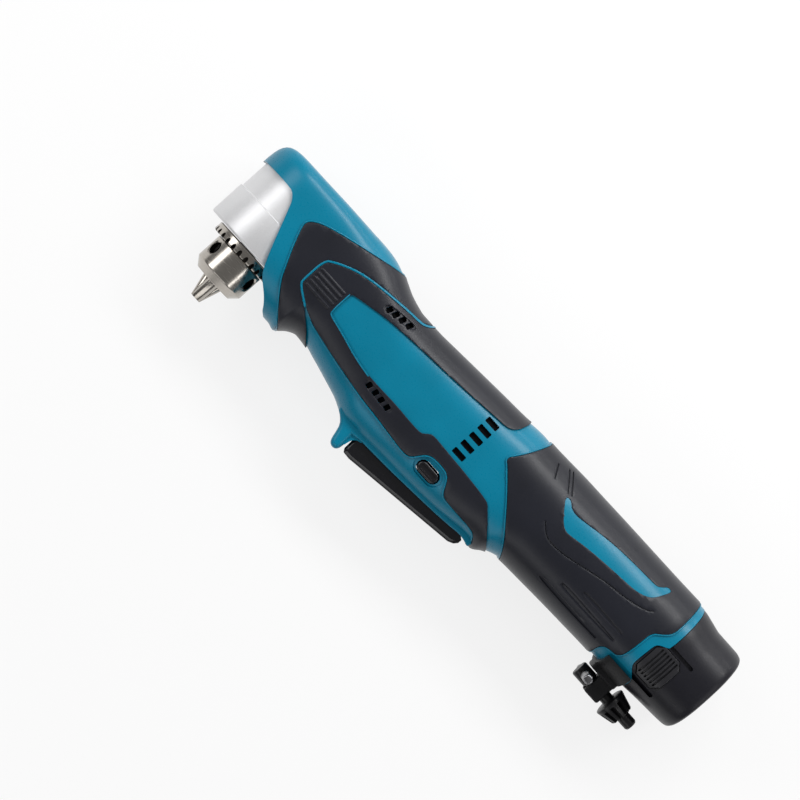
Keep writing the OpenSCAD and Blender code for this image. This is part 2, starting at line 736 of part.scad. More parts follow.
module housing_right() color(teal) difference() {
  mirror([0, 0, 1]) half_shell();
  for (p = mm(screw_shares)) translate([p[0], p[1], 0]) {
    mirror([0, 0, 1]) cylinder(h = overrun, r = screw_room_r(screw_r), $fn = screw_fn);
    translate([0, 0, -screw_seat]) mirror([0, 0, 1])
      cylinder(h = overrun, r = screw_room_r(screw_head_r), $fn = screw_fn);
  }
}

// A soft grip on the left half: the skin inside one side outline
module soft_skin(shares) difference() {
  intersection() {
    handle_form(grip_t, around, 1);
    prism(mm(shares), 0, overrun);
  }
  handle_form(run_gap, around, 1);
  vents();
  linear_extrude(overrun) reverse_outline(reverse_rim);
  prism([for (p = cover_edge_shares) [p[0] * head_r, p[1] * half_h]], -overrun, overrun);
  lever_space();
}

module neck_grip_left() color(charcoal) soft_skin(neck_grip_shares);
module neck_grip_right() color(charcoal) mirror([0, 0, 1]) soft_skin(neck_grip_shares);
module side_panel_left() color(charcoal) soft_skin(side_panel_shares);
module side_panel_right() color(charcoal) mirror([0, 0, 1]) soft_skin(side_panel_shares);
module rear_grip_left() color(charcoal) soft_skin(rear_grip_shares);
module rear_grip_right() color(charcoal) mirror([0, 0, 1]) soft_skin(rear_grip_shares);

module housing_screws() color(steel) for (p = mm(screw_shares)) translate([p[0], p[1], -screw_seat]) {
  cylinder(h = screw_seat + screw_reach, r = screw_r);
  mirror([0, 0, 1]) cylinder(h = screw_head_h, r = screw_head_r);
}

// Gear head

module gear_case() color(alloy) difference() {
  union() {
    disc_y(-case_drop, case_drop + case_step_y, case_r);
    disc_y(case_step_y, case_rise - case_step_y, case_r - case_step);
    disc_x(0, case_l, neck_r);
    disc_x(case_l - flange_t, flange_t, ring_r);
  }
  difference() {
    disc_y(-overrun, overrun + case_rise - case_roof, case_bore);
    disc_y(case_rise - case_roof - bush_l, overrun, journal_r + bush_wall + boss_wall);
  }
  disc_y(case_rise - case_roof - bush_l - overrun, overrun + bush_l, journal_r + bush_wall + fit_gap);
  disc_x(0, pinion_bearing_x + pinion_bearing_l + fit_gap, pinion_bearing_r + fit_gap);
  disc_x(0, overrun, pinion_bearing_r - race_t);
  disc_x(carrier_x - slide_gap, overrun, carrier_r + slide_gap);
}

module bearing_box() color(alloy) difference() {
  disc_y(-case_drop, box_lip + spindle_bearing_l, case_bore - run_gap);
  disc_y(bearing_y, overrun, spindle_bearing_r + run_gap);
  disc_y(-overrun, 2 * overrun, spindle_bearing_r - race_t);
  disc_x(pinion_bearing_x - fit_gap, overrun, pinion_bearing_r + fit_gap);
}

// A shielded ball bearing: two races with a sunk shield between them
module bearing(inner, outer, l) difference() {
  cylinder(h = l, r = outer);
  translate([0, 0, -overrun]) cylinder(h = 2 * overrun, r = inner);
  for (z = [-overrun, l - race_depth]) translate([0, 0, z]) difference() {
    cylinder(h = overrun + race_depth, r = outer - race_t);
    cylinder(h = overrun + race_depth, r = inner + race_t);
  }
}

module spindle_bearing() color(steel)
  along_y(bearing_y) bearing(spindle_r + run_gap, spindle_bearing_r, spindle_bearing_l);
module pinion_bearing() color(steel)
  along_x(pinion_bearing_x) bearing(pinion_shaft_r + run_gap, pinion_bearing_r, pinion_bearing_l);
module spindle_bush() color(brass)
  tube_y(case_rise - case_roof - bush_l, bush_l, journal_r + bush_wall, journal_r + run_gap);

module spindle() color(steel) {
  disc_y(ring_bottom + tooth_ring_h - nose_l, nose_l + chuck_gap + box_lip, nose_r);
  disc_y(bearing_y, case_rise - case_roof - bush_l - bearing_y - move_gap, spindle_r);
  disc_y(case_rise - case_roof - bush_l - move_gap, bush_l, journal_r);
}

// Gears

function inv_angle(a) = tan(a) * 180 / PI - a;

// Half of a tooth's angle at radius r, for an involute tooth
function half_tooth(r, pitch_r, teeth, play) =
  let (base_r = pitch_r * cos(pressure_angle))
  90 / teeth - play / pitch_r * 90 / PI + inv_angle(pressure_angle)
  - (r > base_r ? inv_angle(acos(base_r / r)) : 0);

function polar(r, a) = [r * cos(a), r * sin(a)];

function spur_points(teeth, tip, root, play) =
  let (pitch_r = gear_module * teeth / 2, low = pitch_r - root, high = pitch_r + tip)
  [for (i = [0 : teeth - 1]) each concat(
    [for (k = [0 : flank_steps]) let (r = low + (high - low) * k / flank_steps)
      polar(r, 360 * i / teeth - half_tooth(r, pitch_r, teeth, play))],
    [for (k = [0 : flank_steps]) let (r = high - (high - low) * k / flank_steps)
      polar(r, 360 * i / teeth + half_tooth(r, pitch_r, teeth, play))])];

// Straight sided teeth for the bevel gears, at their large end
function bevel_points(teeth, tip, root, play, flank) =
  let (pitch_r = bevel_module * teeth / 2, half = PI * bevel_module / 4 - play / 2)
  [for (i = [0 : teeth - 1]) each [
    for (q = [[-root, -1], [tip, -1], [tip, 1], [-root, 1]])
    let (r = pitch_r + q[0], w = half - q[0] * flank)
    polar(r, 360 * i / teeth + q[1] * w / r * 180 / PI)]];

tip_h = gear_module * stub_share;
root_h = gear_module * root_share;

module ring_gear() color(steel) difference() {
  disc_x(case_l, ring_l, ring_r);
  along_x(case_l - overrun) linear_extrude(2 * overrun)
    polygon(spur_points(ring_gear_teeth, root_h, tip_h, -backlash));
}

module sun_gear() color(steel) difference() {
  along_x(planet_x) linear_extrude(sun_l) polygon(spur_points(sun_teeth, tip_h, root_h, backlash));
  disc_x(planet_x - overrun, 2 * overrun, motor_shaft_r + run_gap);
}

module planet_gear(i) color(steel) along_x(planet_x) rotate([0, 0, 360 * i / planet_count])
  translate([planet_a, 0, 0]) difference() {
    linear_extrude(planet_l) polygon(spur_points(planet_teeth, tip_h, root_h, backlash));
    translate([0, 0, -overrun]) cylinder(h = 2 * overrun, r = planet_pin_r + run_gap);
  }

module planet_gear_1() planet_gear(0);
module planet_gear_2() planet_gear(1);
module planet_gear_3() planet_gear(2);

module at_planets() for (i = [0 : planet_count - 1])
  rotate([0, 0, 360 * i / planet_count]) translate([planet_a, 0, 0]) children();

module planet_carrier() color(steel) difference() {
  disc_x(carrier_x, carrier_t, carrier_r);
  disc_x(carrier_x - overrun, 2 * overrun, pinion_shaft_r + run_gap);
  along_x(carrier_x - overrun) at_planets() cylinder(h = 2 * overrun, r = planet_pin_r + run_gap);
}

module planet_pins() color(steel) along_x(carrier_x) at_planets()
  cylinder(h = planet_x + planet_l - carrier_x, r = planet_pin_r);

module bevel_pinion() color(steel) {
  along_x(crown_pitch_r) mirror([0, 0, 1])
    linear_extrude(crown_pitch_r * pinion_face_share, scale = 1 - pinion_face_share)
      polygon(bevel_points(pinion_teeth, pinion_tip_share * bevel_module,
        pinion_root_share * bevel_module, bevel_backlash, pinion_flank_share));
  disc_x(crown_pitch_r, carrier_x + carrier_t - crown_pitch_r, pinion_shaft_r);
}

module crown_gear() color(steel) difference() {
  union() {
    intersection() {
      along_y(-pinion_pitch_r * crown_back_share)
        linear_extrude(pinion_pitch_r * (crown_back_share - 1 + pinion_face_share),
          scale = (1 - pinion_face_share) / crown_back_share)
          scale(crown_back_share) polygon(bevel_points(crown_teeth, crown_tip_share * bevel_module,
            crown_root_share * bevel_module, bevel_backlash, crown_flank_share));
      disc_y(-overrun, 2 * overrun, crown_pitch_r + crown_rim);
    }
    disc_y(crown_y, -pinion_pitch_r * crown_back_share - crown_y, crown_pitch_r + crown_rim);
  }
  disc_y(-overrun, 2 * overrun, spindle_r + run_gap);
}

// Motor

module motor_can() color(steel) difference() {
  disc_x(motor_x, motor_l, motor_r);
  disc_x(motor_x + motor_wall, motor_l, motor_r - motor_wall);
  disc_x(motor_x - overrun, 2 * overrun, motor_shaft_r + run_gap);
}

module motor_magnets() color(black) for (s = [0, 180]) along_x(core_x - (magnet_l - core_l) / 2)
  rotate([0, 0, s - magnet_span / 2]) rotate_extrude(angle = magnet_span)
    translate([motor_r - motor_wall - fit_gap - magnet_t, 0]) square([magnet_t, magnet_l]);

module end_bell() color(black) difference() {
  union() {
    disc_x(bell_x, bell_l, motor_r);
    disc_x(bell_x - bell_plug, bell_plug, motor_r - motor_wall - fit_gap);
  }
  disc_x(bell_x - overrun, overrun + bell_l - bell_rear_t, motor_r * bell_bore_share);
  disc_x(bell_x - overrun, 2 * overrun, motor_shaft_r + run_gap);
  for (s = [0, 180]) rotate([s, 0, 0]) brush_box(fit_gap);
}

module brush_box(grow) block(
  [brush_x - grow, commutator_r + fit_gap, -brush_w / 2 - grow],
  [brush_x + brush_w + grow, commutator_r + fit_gap + brush_l + grow, brush_w / 2 + grow]);

module carbon_brushes() color(black) for (s = [0, 180]) rotate([s, 0, 0]) brush_box(0);

module armature_shaft() color(steel)
  disc_x(planet_x, bell_x + bell_l - planet_x, motor_shaft_r);

module armature_core() color(copper) difference() {
  union() {
    disc_x(core_x, core_l, core_r);
    disc_x(core_x - winding_t, core_l + 2 * winding_t, core_r * winding_r_share);
  }
  for (i = [0 : slot_count - 1]) rotate([360 * i / slot_count, 0, 0])
    block([core_x, core_r - slot_depth, -slot_half], [core_x + core_l, core_r + overrun, slot_half]);
  disc_x(core_x - overrun, 2 * overrun, motor_shaft_r + run_gap);
}

module commutator() color(copper)
  tube_x(commutator_x, commutator_l, commutator_r, motor_shaft_r + run_gap);

// Chuck: turned about the spindle axis, nose down

module at_azimuth(a) rotate([0, -a, 0]) children();

module jaw_axis(grow, low, high) translate([0, jaw_tip, jaw_axis_r]) rotate([jaw_angle - 90, 0, 0])
  translate([0, 0, -low]) cylinder(h = jaw_l + low + high, r = jaw_r + grow);

module chuck_body() color(steel) difference() {
  union() {
    disc_y(ring_bottom, tooth_ring_h, tooth_r);
    along_y(nut_top + move_gap) cylinder(h = ring_bottom - nut_top - move_gap, r1 = nut_seat_r - fit_gap,
      r2 = core_top_r - fit_gap);
    disc_y(chuck_nose, ring_bottom - chuck_nose, nose_ring_r - run_gap - jaw_r + fit_gap);
    disc_y(chuck_nose, nut_bottom - chuck_nose - fit_gap, nose_ring_r - run_gap);
  }
  for (i = [0 : ring_teeth - 1]) at_azimuth(360 * i / ring_teeth) chuck_notch();
  translate([0, key_y, 0]) tube_y(-key_hole_r, 2 * key_hole_r, sleeve_r, core_top_r - key_groove_depth);
  disc_y(chuck_top - nose_l, overrun, nose_r + run_gap);
  disc_y(-overrun, overrun + chuck_top - nose_l, bit_bore_r);
  for (i = [0 : 2]) at_azimuth(jaw_azimuth + 120 * i) jaw_axis(run_gap, jaw_l, jaw_l);
}

// The gap between two teeth, cut into the lower edge of the ring
module chuck_notch() {
  w = tooth_width_share * 2 * PI * tooth_r / ring_teeth;
  d = tooth_depth_share * tooth_ring_h;
  translate([0, ring_bottom, sleeve_r + move_gap]) linear_extrude(overrun)
    polygon([[-w, -d], [w, -d], [w / 4, d], [-w / 4, d]]);
}

module chuck_sleeve() color(steel) difference() {
  along_y(0) rotate_extrude() polygon([
    [core_top_r, ring_bottom - move_gap], [sleeve_r, ring_bottom - move_gap],
    [sleeve_r, chuck_nose + chamfer_h], [sleeve_r - chamfer_w, chuck_nose], [nose_ring_r, chuck_nose],
    [nose_ring_r, nut_bottom], [nut_seat_r, nut_bottom], [nut_seat_r, nut_top]]);
  for (i = [0 : 2]) at_azimuth(key_azimuth + 120 * i) translate([0, key_y, 0]) {
    cylinder(h = overrun, r = key_hole_r);
    translate([0, 0, sleeve_r - key_chamfer])
      cylinder(h = 2 * key_chamfer, r1 = key_hole_r, r2 = key_hole_r + 2 * key_chamfer);
  }
}

function jaw_out(y) = jaw_axis_r + (y - jaw_tip) * tan(jaw_angle) + jaw_r / cos(jaw_angle) + nut_wall_gap;

module jaw_nut() color(brass) difference() {
  disc_y(nut_bottom + run_gap, nut_h - 2 * run_gap, nut_seat_r - run_gap);
  along_y(nut_bottom) cylinder(h = nut_h, r1 = jaw_out(nut_bottom), r2 = jaw_out(nut_top));
}

module jaw(i) color(steel) at_azimuth(jaw_azimuth + 120 * i) intersection() {
  jaw_axis(0, jaw_r, 0);
  along_y(jaw_tip) linear_extrude(overrun)
    polygon([[0, -jaw_split], [overrun * sin(60), -overrun / 2], [-overrun * sin(60), -overrun / 2]]);
}

module jaw_1() jaw(0);
module jaw_2() jaw(1);
module jaw_3() jaw(2);

// Trigger and switch

module trigger_lever() color(black) difference() {
  prism(mm(lever_shares), -lever_half_w, lever_half_w);
  translate([pivot[0], pivot[1], -overrun]) cylinder(h = 2 * overrun, r = lever_pin_r + run_gap);
}

module trigger_pin() color(steel) translate([pivot[0], pivot[1], -pin_half_l])
  cylinder(h = 2 * pin_half_l, r = lever_pin_r);

module switch_body() color(black) difference() {
  block([switch_x, switch_y, -switch_w / 2], [switch_x + switch_l, switch_y + switch_h, switch_w / 2]);
  translate([plunger_x, 0, 0])
    disc_y(-overrun, overrun + switch_y + switch_h - switch_roof, plunger_r + run_gap);
  block([switch_x + switch_l - arm_l - slide_gap, reverse_y - arm_h / 2 - slide_gap,
      -arm_half - reverse_travel - slide_gap],
    [overall_l, reverse_y + arm_h / 2 + slide_gap, arm_half + reverse_travel + slide_gap]);
}

module switch_plunger() color(black) translate([plunger_x, 0, 0]) difference() {
  disc_y(plunger_y, plunger_l, plunger_r);
  disc_y(plunger_y + plunger_floor, overrun, plunger_cup);
}

// A coil along Z from 0 to l, one tube with flat ends
module coil(l, radius, wire, turns) {
  sides = 6;
  steps = turns * 8;
  rise = l - 2 * wire;
  rings = [for (i = [0 : steps]) let (a = 360 * turns * i / steps)
    [for (k = [0 : sides - 1]) let (b = 360 * k / sides, r = radius + wire * cos(b))
      [r * cos(a), r * sin(a), wire + rise * i / steps + wire * sin(b)]]];
  skin_over(rings);
}

spring_low = plunger_y + plunger_floor + fit_gap;
spring_l = switch_y + switch_h - switch_roof - fit_gap - spring_low;
module plunger_spring() color(steel) translate([plunger_x, 0, 0])
  along_y(spring_low) coil(spring_l, spring_r, spring_wire, spring_turns);

module reverse_button() color(black) {
  translate([0, 0, -reverse_half]) linear_extrude(2 * reverse_half) reverse_outline(0);
  block([switch_x + switch_l - arm_l, reverse_y - arm_h / 2, -arm_half],
    [reverse_x, reverse_y + arm_h / 2, arm_half]);
}

// Lamp

module lamp_lens() color(clear) translate([lamp_x, 0, 0]) disc_y(lamp_floor, lamp_l - fit_gap, lens_r);
module lamp_board() color(teal) block([lamp_x - board_l / 2, lamp_floor + lamp_l, -board_w / 2],
  [lamp_x + board_l / 2, lamp_floor + lamp_l + board_t, board_w / 2]);

// Battery and terminals

module terminal_block() color(black) difference() {
  block([block_x, -block_h / 2, -block_w / 2], [block_x + block_l, block_h / 2, block_w / 2]);
  for (k = [-1 : 1]) blade(k, fit_gap);
}

module blade(k, grow) block(
  [block_x + block_l - blade_l / 2 - grow, -blade_h / 2 - grow, k * blade_pitch - blade_t / 2 - grow],
  [block_x + block_l + blade_l + grow, blade_h / 2 + grow, k * blade_pitch + blade_t / 2 + grow]);

module terminal_blades() color(brass) for (k = [-1 : 1]) blade(k, 0);

module battery_stick() color(charcoal) difference() {
  disc_x(stick_x, stick_end - stick_x, stick_r);
  disc_x(stick_x + stick_front_t, overrun + cell_l, stick_in);
  for (k = [-1 : 1]) blade(k, slide_gap);
  both_sides() release_window();
}

module release_window() block(
  [release_x - release_l / 2 - 2 * release_flange, release_y - release_h / 2 - 2 * release_flange,
    release_window_z],
  [release_x + release_l / 2 + 2 * release_flange, release_y + release_h / 2 + 2 * release_flange,
    release_window_z + stick_r]);

module battery_cells() color(teal) along_x(cell_x) for (i = [0 : 2]) rotate([0, 0, 30 + 120 * i])
  rotate([0, 0, 60]) translate([0, -cell_ring_r, 0]) cylinder(h = cell_l, r = cell_r);

module battery_terminals() color(brass) for (k = [-1 : 1]) for (s = [-1, 1]) {
  z = k * blade_pitch + s * (blade_t / 2 + fit_gap + clip_t / 2);
  block([stick_x + stick_front_t + fit_gap, -blade_h / 2, z - clip_t / 2],
    [stick_x + stick_front_t + fit_gap + clip_l, blade_h / 2, z + clip_t / 2]);
}

module release_outline(grow) {
  l = release_l / 2 + grow;
  h = release_h / 2 + grow;
  translate([release_x, release_y]) polygon([
    [-l, -h + release_corner], [-l + release_corner, -h], [l - release_corner, -h], [l, -h + release_corner],
    [l, h - release_corner], [l - release_corner, h], [-l + release_corner, h], [-l, h - release_corner]]);
}

module spring_ledges() both_sides() block(
  [web_x - ledge_l, release_y - ledge_half, ledge_z - ledge_t],
  [web_x, release_y + ledge_half, ledge_z]);

module battery_shell() color(charcoal) difference() {
  union() {
    difference() {
      intersection() {
        battery_form(0, battery_end);
        translate([move_gap, 0, 0]) prism(mm(collar_edge_shares), -overrun, overrun);
      }
      difference() {
        battery_form(-shell_t, battery_end - shell_t);
        block([web_x, -overrun, -overrun], [web_x + web_t, overrun, overrun]);
      }
    }
    disc_x(web_x - spigot_l, spigot_l + web_t, spigot_r);
    spring_ledges();
  }
  difference() {
    disc_x(collar_x - overrun, overrun + web_x - collar_x, spigot_r - spigot_wall);
    spring_ledges();
  }
  disc_x(collar_x, battery_end - shell_t - collar_x, web_bore_r);
  both_sides() translate([0, 0, release_window_z]) linear_extrude(overrun) release_outline(move_gap);
  both_sides() intersection() {
    release_window();
    battery_form(-shell_t, battery_end - shell_t);
  }
}

// A release button: its top follows the shell, its flange stays inside it
module release_button_left() color(black) intersection() {
  union() {
    intersection() {
      battery_form(release_proud, battery_end);
      linear_extrude(overrun) release_outline(0);
    }
    difference() {
      intersection() {
        battery_form(-shell_t - move_gap, battery_end);
        linear_extrude(overrun) release_outline(release_flange);
      }
      battery_form(-shell_t - move_gap - release_flange_t, battery_end);
    }
    intersection() {
      battery_form(release_proud + release_rib_h, battery_end);
      for (i = [0 : release_ribs - 1]) release_rib(release_l * ((i + 1 / 2) / release_ribs - 1 / 2));
    }
  }
  translate([move_gap, 0, 0]) prism(mm(collar_edge_shares), release_low, overrun);
}

module release_rib(x) block(
  [release_x + x - release_rib_h, release_y - release_h / 2 + release_corner, release_low],
  [release_x + x + release_rib_h, release_y + release_h / 2 - release_corner, overrun]);

module release_button_right() mirror([0, 0, 1]) release_button_left();

spring_seat = ledge_z + fit_gap;
module release_spring_left() color(steel)
  translate([web_x - ledge_l / 2, release_y, spring_seat])
    coil(release_low - fit_gap - spring_seat, release_spring_r, spring_wire, release_spring_turns);
module release_spring_right() mirror([0, 0, 1]) release_spring_left();

// Chuck key and its holder

module key_holder() color(black) difference() {
  union() {
    intersection() {
      handle_form(saddle_t, around, 1);
      block([holder_shares[0] * body_l, -overrun, -overrun],
        [holder_shares[1] * body_l, -saddle_top_share * half_h, overrun]);
    }
    block([clip_x, key_axis_y - clip_drop, -stem_half], [clip_end, -saddle_top_share * half_h, stem_half]);
  }
  handle_form(fit_gap, around, 1);
  translate([0, key_axis_y, 0]) disc_x(clip_x - overrun, 2 * overrun, key_shaft_r + fit_gap);
  block([clip_x - overrun, key_axis_y - overrun, -key_shaft_r - fit_gap],
    [clip_end + overrun, key_axis_y, key_shaft_r + fit_gap]);
}

module chuck_key() color(black) translate([0, key_axis_y, 0]) difference() {
  union() {
    disc_x(hub_x, hub_l, hub_r);
    disc_x(hub_x, gear_x - hub_x, key_shaft_r);
    along_x(gear_x) cylinder(h = gear_l, r1 = key_gear_r, r2 = key_gear_r * gear_small_share);
    disc_x(gear_x, gear_l + pilot_l, pilot_r);
  }
  for (i = [0 : key_teeth - 1]) rotate([360 * i / key_teeth, 0, 0]) key_notch();
  translate([hub_x + hub_l / 2, 0, -overrun]) cylinder(h = 2 * overrun, r = bar_r + run_gap);
}

module key_notch() {
  w = PI * key_gear_r / key_teeth / 2;
  low = key_gear_r * gear_small_share - key_tooth_depth;
  translate([gear_x + gear_l / 3, 0, 0]) rotate([0, 90, 0]) linear_extrude(gear_l)
    polygon([[-w / 2, low], [w / 2, low], [w, key_gear_r + w], [-w, key_gear_r + w]]);
}

module key_bar() color(steel) translate([hub_x + hub_l / 2, key_axis_y, -bar_half_l])
  cylinder(h = 2 * bar_half_l, r = bar_r);

// Leads: a tube swept along a route, square to X where it runs along X

function unit(v) = v / norm(v);

module lead(route) {
  last = len(route) - 1;
  rings = [for (i = [0 : last])
    let (t = unit(route[min(i + 1, last)] - route[max(i - 1, 0)]),
      a = unit(cross(t, [0, 0, 1])), b = cross(a, t))
    [for (k = [0 : lead_sides - 1]) let (q = 360 * k / lead_sides)
      route[i] + lead_r * (cos(q) * a + sin(q) * b)]];
  skin_over(rings);
}

function power_route() =
  let (start = block_x - fit_gap, way = switch_x + switch_l - lead_in - start)
  [for (p = power_lead_shares)
    [start + p[0] * way, power_lead_y + p[1] * (lead_low - power_lead_y), power_lead_z]];

// Down behind the end bell, then towards the middle of the switch
function motor_route() =
  let (start = bell_x + bell_l + fit_gap, down = start + motor_lead_reach,
    end = switch_x + switch_l / 2, turn = sign(end - down) * motor_lead_reach,
    drop = lead_low - motor_lead_y)
  concat(
    [for (p = motor_lead_shares)
      [start + p[0] * motor_lead_reach, motor_lead_y + p[1] * drop, motor_lead_z]],
    [for (p = motor_turn_shares) [down + p[0] * turn, motor_lead_y + p[1] * drop, motor_lead_z]],
    [[end, lead_low, motor_lead_z]]);

module power_leads() color(black) both_sides() lead(power_route());
module motor_leads() color(copper) both_sides() lead(motor_route());

module laid() translate([-place_x, -place_y, place_z]) children();

laid() housing_left();
laid() housing_right();
laid() neck_grip_left();
laid() neck_grip_right();
laid() side_panel_left();
laid() side_panel_right();
laid() rear_grip_left();
laid() rear_grip_right();
laid() housing_screws();
laid() gear_case();
laid() bearing_box();
laid() spindle_bearing();
laid() spindle_bush();
laid() pinion_bearing();
laid() ring_gear();
laid() motor_can();
laid() motor_magnets();
laid() end_bell();
laid() carbon_brushes();
laid() switch_body();
laid() trigger_pin();
laid() terminal_block();
laid() terminal_blades();
laid() power_leads();
laid() motor_leads();
laid() lamp_lens();
laid() lamp_board();
laid() key_holder();
laid() spindle();
laid() crown_gear();
laid() chuck_body();
laid() chuck_sleeve();
laid() jaw_nut();
laid() jaw_1();
laid() jaw_2();
laid() jaw_3();
laid() bevel_pinion();
laid() planet_carrier();
laid() planet_pins();
laid() planet_gear_1();
laid() planet_gear_2();
laid() planet_gear_3();
laid() sun_gear();
laid() armature_shaft();
laid() armature_core();
laid() commutator();
laid() trigger_lever();
laid() switch_plunger();
laid() plunger_spring();
laid() reverse_button();
laid() battery_shell();
laid() battery_stick();
laid() battery_cells();
laid() battery_terminals();
laid() release_button_left();
laid() release_button_right();
laid() release_spring_left();
laid() release_spring_right();
laid() chuck_key();
laid() key_bar();
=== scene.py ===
import json
import math

import bpy
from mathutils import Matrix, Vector


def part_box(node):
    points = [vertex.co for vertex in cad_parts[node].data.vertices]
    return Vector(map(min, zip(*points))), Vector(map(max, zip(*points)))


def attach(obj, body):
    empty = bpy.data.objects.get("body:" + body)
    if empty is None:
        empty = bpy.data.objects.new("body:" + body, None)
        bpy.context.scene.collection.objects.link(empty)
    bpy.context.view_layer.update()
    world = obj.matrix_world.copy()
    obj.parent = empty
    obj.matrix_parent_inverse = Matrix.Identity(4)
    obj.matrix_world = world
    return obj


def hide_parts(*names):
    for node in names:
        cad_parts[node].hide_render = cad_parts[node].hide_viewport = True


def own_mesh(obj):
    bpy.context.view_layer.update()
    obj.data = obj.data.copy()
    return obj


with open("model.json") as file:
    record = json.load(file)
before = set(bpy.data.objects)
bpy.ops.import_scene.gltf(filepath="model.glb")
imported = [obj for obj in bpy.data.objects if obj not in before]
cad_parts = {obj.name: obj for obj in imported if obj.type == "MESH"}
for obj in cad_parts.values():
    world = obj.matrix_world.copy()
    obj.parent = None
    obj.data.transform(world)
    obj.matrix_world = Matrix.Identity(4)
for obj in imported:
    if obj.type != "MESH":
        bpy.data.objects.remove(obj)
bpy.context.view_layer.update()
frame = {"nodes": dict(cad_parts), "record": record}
nodes = frame["nodes"]
print("frame loaded:", len(nodes), "CAD nodes")

# everything is modelled in millimetres in the drill's own frame: spindle axis at x 0,
# motor axis at y 0, clamshell seam at z 0, then set down in metres where the CAD lies
toolPlace = {"x": -0.130, "y": 0.01045, "z": 0.0262, "scale": 0.001}
farOut = 60  # cutters end this far out, past every surface
mergeGap = 0.0005  # points closer than this become one


# selection and edit mode

def clearAll():
    if bpy.context.mode != "OBJECT":
        bpy.ops.object.mode_set(mode="OBJECT")
    bpy.ops.object.select_all(action="DESELECT")


def pick(piece):
    clearAll()
    piece.select_set(True)
    bpy.context.view_layer.objects.active = piece


def openEdit(piece, action="SELECT"):
    pick(piece)
    bpy.ops.object.mode_set(mode="EDIT")
    bpy.ops.mesh.select_mode(type="VERT")
    bpy.ops.mesh.select_all(action=action)


def closeEdit():
    bpy.ops.object.mode_set(mode="OBJECT")


def pickWhere(piece, test, kind="FACE"):
    # faces by centre and normal, points by place
    openEdit(piece, "DESELECT")
    bpy.ops.mesh.select_mode(type=kind)
    closeEdit()
    mesh = piece.data
    if kind == "FACE":
        for face in mesh.polygons:
            face.select = bool(test(face.center, face.normal))
    else:
        for point in mesh.vertices:
            point.select = bool(test(point.co))
    bpy.ops.object.mode_set(mode="EDIT")


def named(name):
    piece = bpy.context.object
    piece.name = name
    piece.data.name = name
    return piece


def copyOf(piece, name):
    pick(piece)
    bpy.ops.object.duplicate()
    return named(name)


def remove(*pieces):
    for piece in pieces:
        bpy.data.objects.remove(piece)


def join(first, *others):
    pick(first)
    for piece in others:
        piece.select_set(True)
    bpy.ops.object.join()
    return first


# building blocks

def softOutline(points, rounds=2, closed=True, near=0.75):
    # each round cuts every corner off, so that an outline turns softly
    far = 1 - near
    for _ in range(rounds):
        cut = []
        last = len(points) if closed else len(points) - 1
        for i in range(last):
            a, b = points[i], points[(i + 1) % len(points)]
            cut.append((near * a[0] + far * b[0], near * a[1] + far * b[1]))
            cut.append((far * a[0] + near * b[0], far * a[1] + near * b[1]))
        points = cut if closed else [points[0]] + cut + [points[-1]]
    return points


def stripOutline(points, width):
    # a closed band of the given width along an open line
    left, right = [], []
    for i, p in enumerate(points):
        a, b = points[max(i - 1, 0)], points[min(i + 1, len(points) - 1)]
        dx, dy = b[0] - a[0], b[1] - a[1]
        span = math.hypot(dx, dy)
        nx, ny = -dy / span * width / 2, dx / span * width / 2
        left.append((p[0] + nx, p[1] + ny))
        right.append((p[0] - nx, p[1] - ny))
    return left + right[::-1]


def placed(points, centre, degrees):
    c, s = math.cos(math.radians(degrees)), math.sin(math.radians(degrees))
    return [(centre[0] + x * c - y * s, centre[1] + x * s + y * c) for x, y in points]


def roundSlot(centre, length, height, degrees=0, steps=6):
    # outline of a slot with round ends
    r, half = height / 2, (length - height) / 2
    points = []
    for side, start in ((1, -90), (-1, 90)):
        for k in range(steps + 1):
            a = math.radians(start + 180 * k / steps)
            points.append((side * half + r * math.cos(a), r * math.sin(a)))
    return placed(points, centre, degrees)


def roundRect(centre, length, height, corner, degrees=0, steps=3):
    # outline of a slot with small round corners
    points = []
    for sx, sy, start in ((1, -1, -90), (1, 1, 0), (-1, 1, 90), (-1, -1, 180)):
        for k in range(steps + 1):
            a = math.radians(start + 90 * k / steps)
            points.append((sx * (length / 2 - corner) + corner * math.cos(a),
                           sy * (height / 2 - corner) + corner * math.sin(a)))
    return placed(points, centre, degrees)


def borderRun(outline, start, end, out):
    # the stretch of a softened outline between two places, moved outwards
    points = softOutline(outline)
    area = sum(a[0] * b[1] - b[0] * a[1] for a, b in zip(points, points[1:] + points[:1]))
    first, last = (min(range(len(points)), key=lambda k: math.dist(points[k], place))
                   for place in (start, end))
    run = points[first:last + 1] if first <= last else points[first:] + points[:last + 1]
    moved, side = [], out if area > 0 else -out
    for i, p in enumerate(run):
        a, b = run[max(i - 1, 0)], run[min(i + 1, len(run) - 1)]
        span = math.dist(a, b)
        moved.append((p[0] + side * (b[1] - a[1]) / span, p[1] - side * (b[0] - a[0]) / span))
    return moved


def outlinePrism(name, points, low, high):
    # a ring of points is put on the outline, filled and pulled up
    clearAll()
    bpy.ops.mesh.primitive_circle_add(vertices=len(points), radius=1, fill_type="NGON")
    piece = named(name)
    for point, place in zip(piece.data.vertices, points):
        point.co = (place[0], place[1], low)
    openEdit(piece)
    bpy.ops.mesh.extrude_region_move(TRANSFORM_OT_translate={"value": (0, 0, high - low)})
    bpy.ops.mesh.select_all(action="SELECT")
    bpy.ops.mesh.normals_make_consistent(inside=False)
    closeEdit()
    return piece


def box(name, low, high):
    clearAll()
    size = [b - a for a, b in zip(low, high)]
    middle = [(a + b) / 2 for a, b in zip(low, high)]
    bpy.ops.mesh.primitive_cube_add(size=1, location=middle, scale=size)
    piece = named(name)
    bpy.ops.object.transform_apply(location=True, rotation=True, scale=True)
    return piece


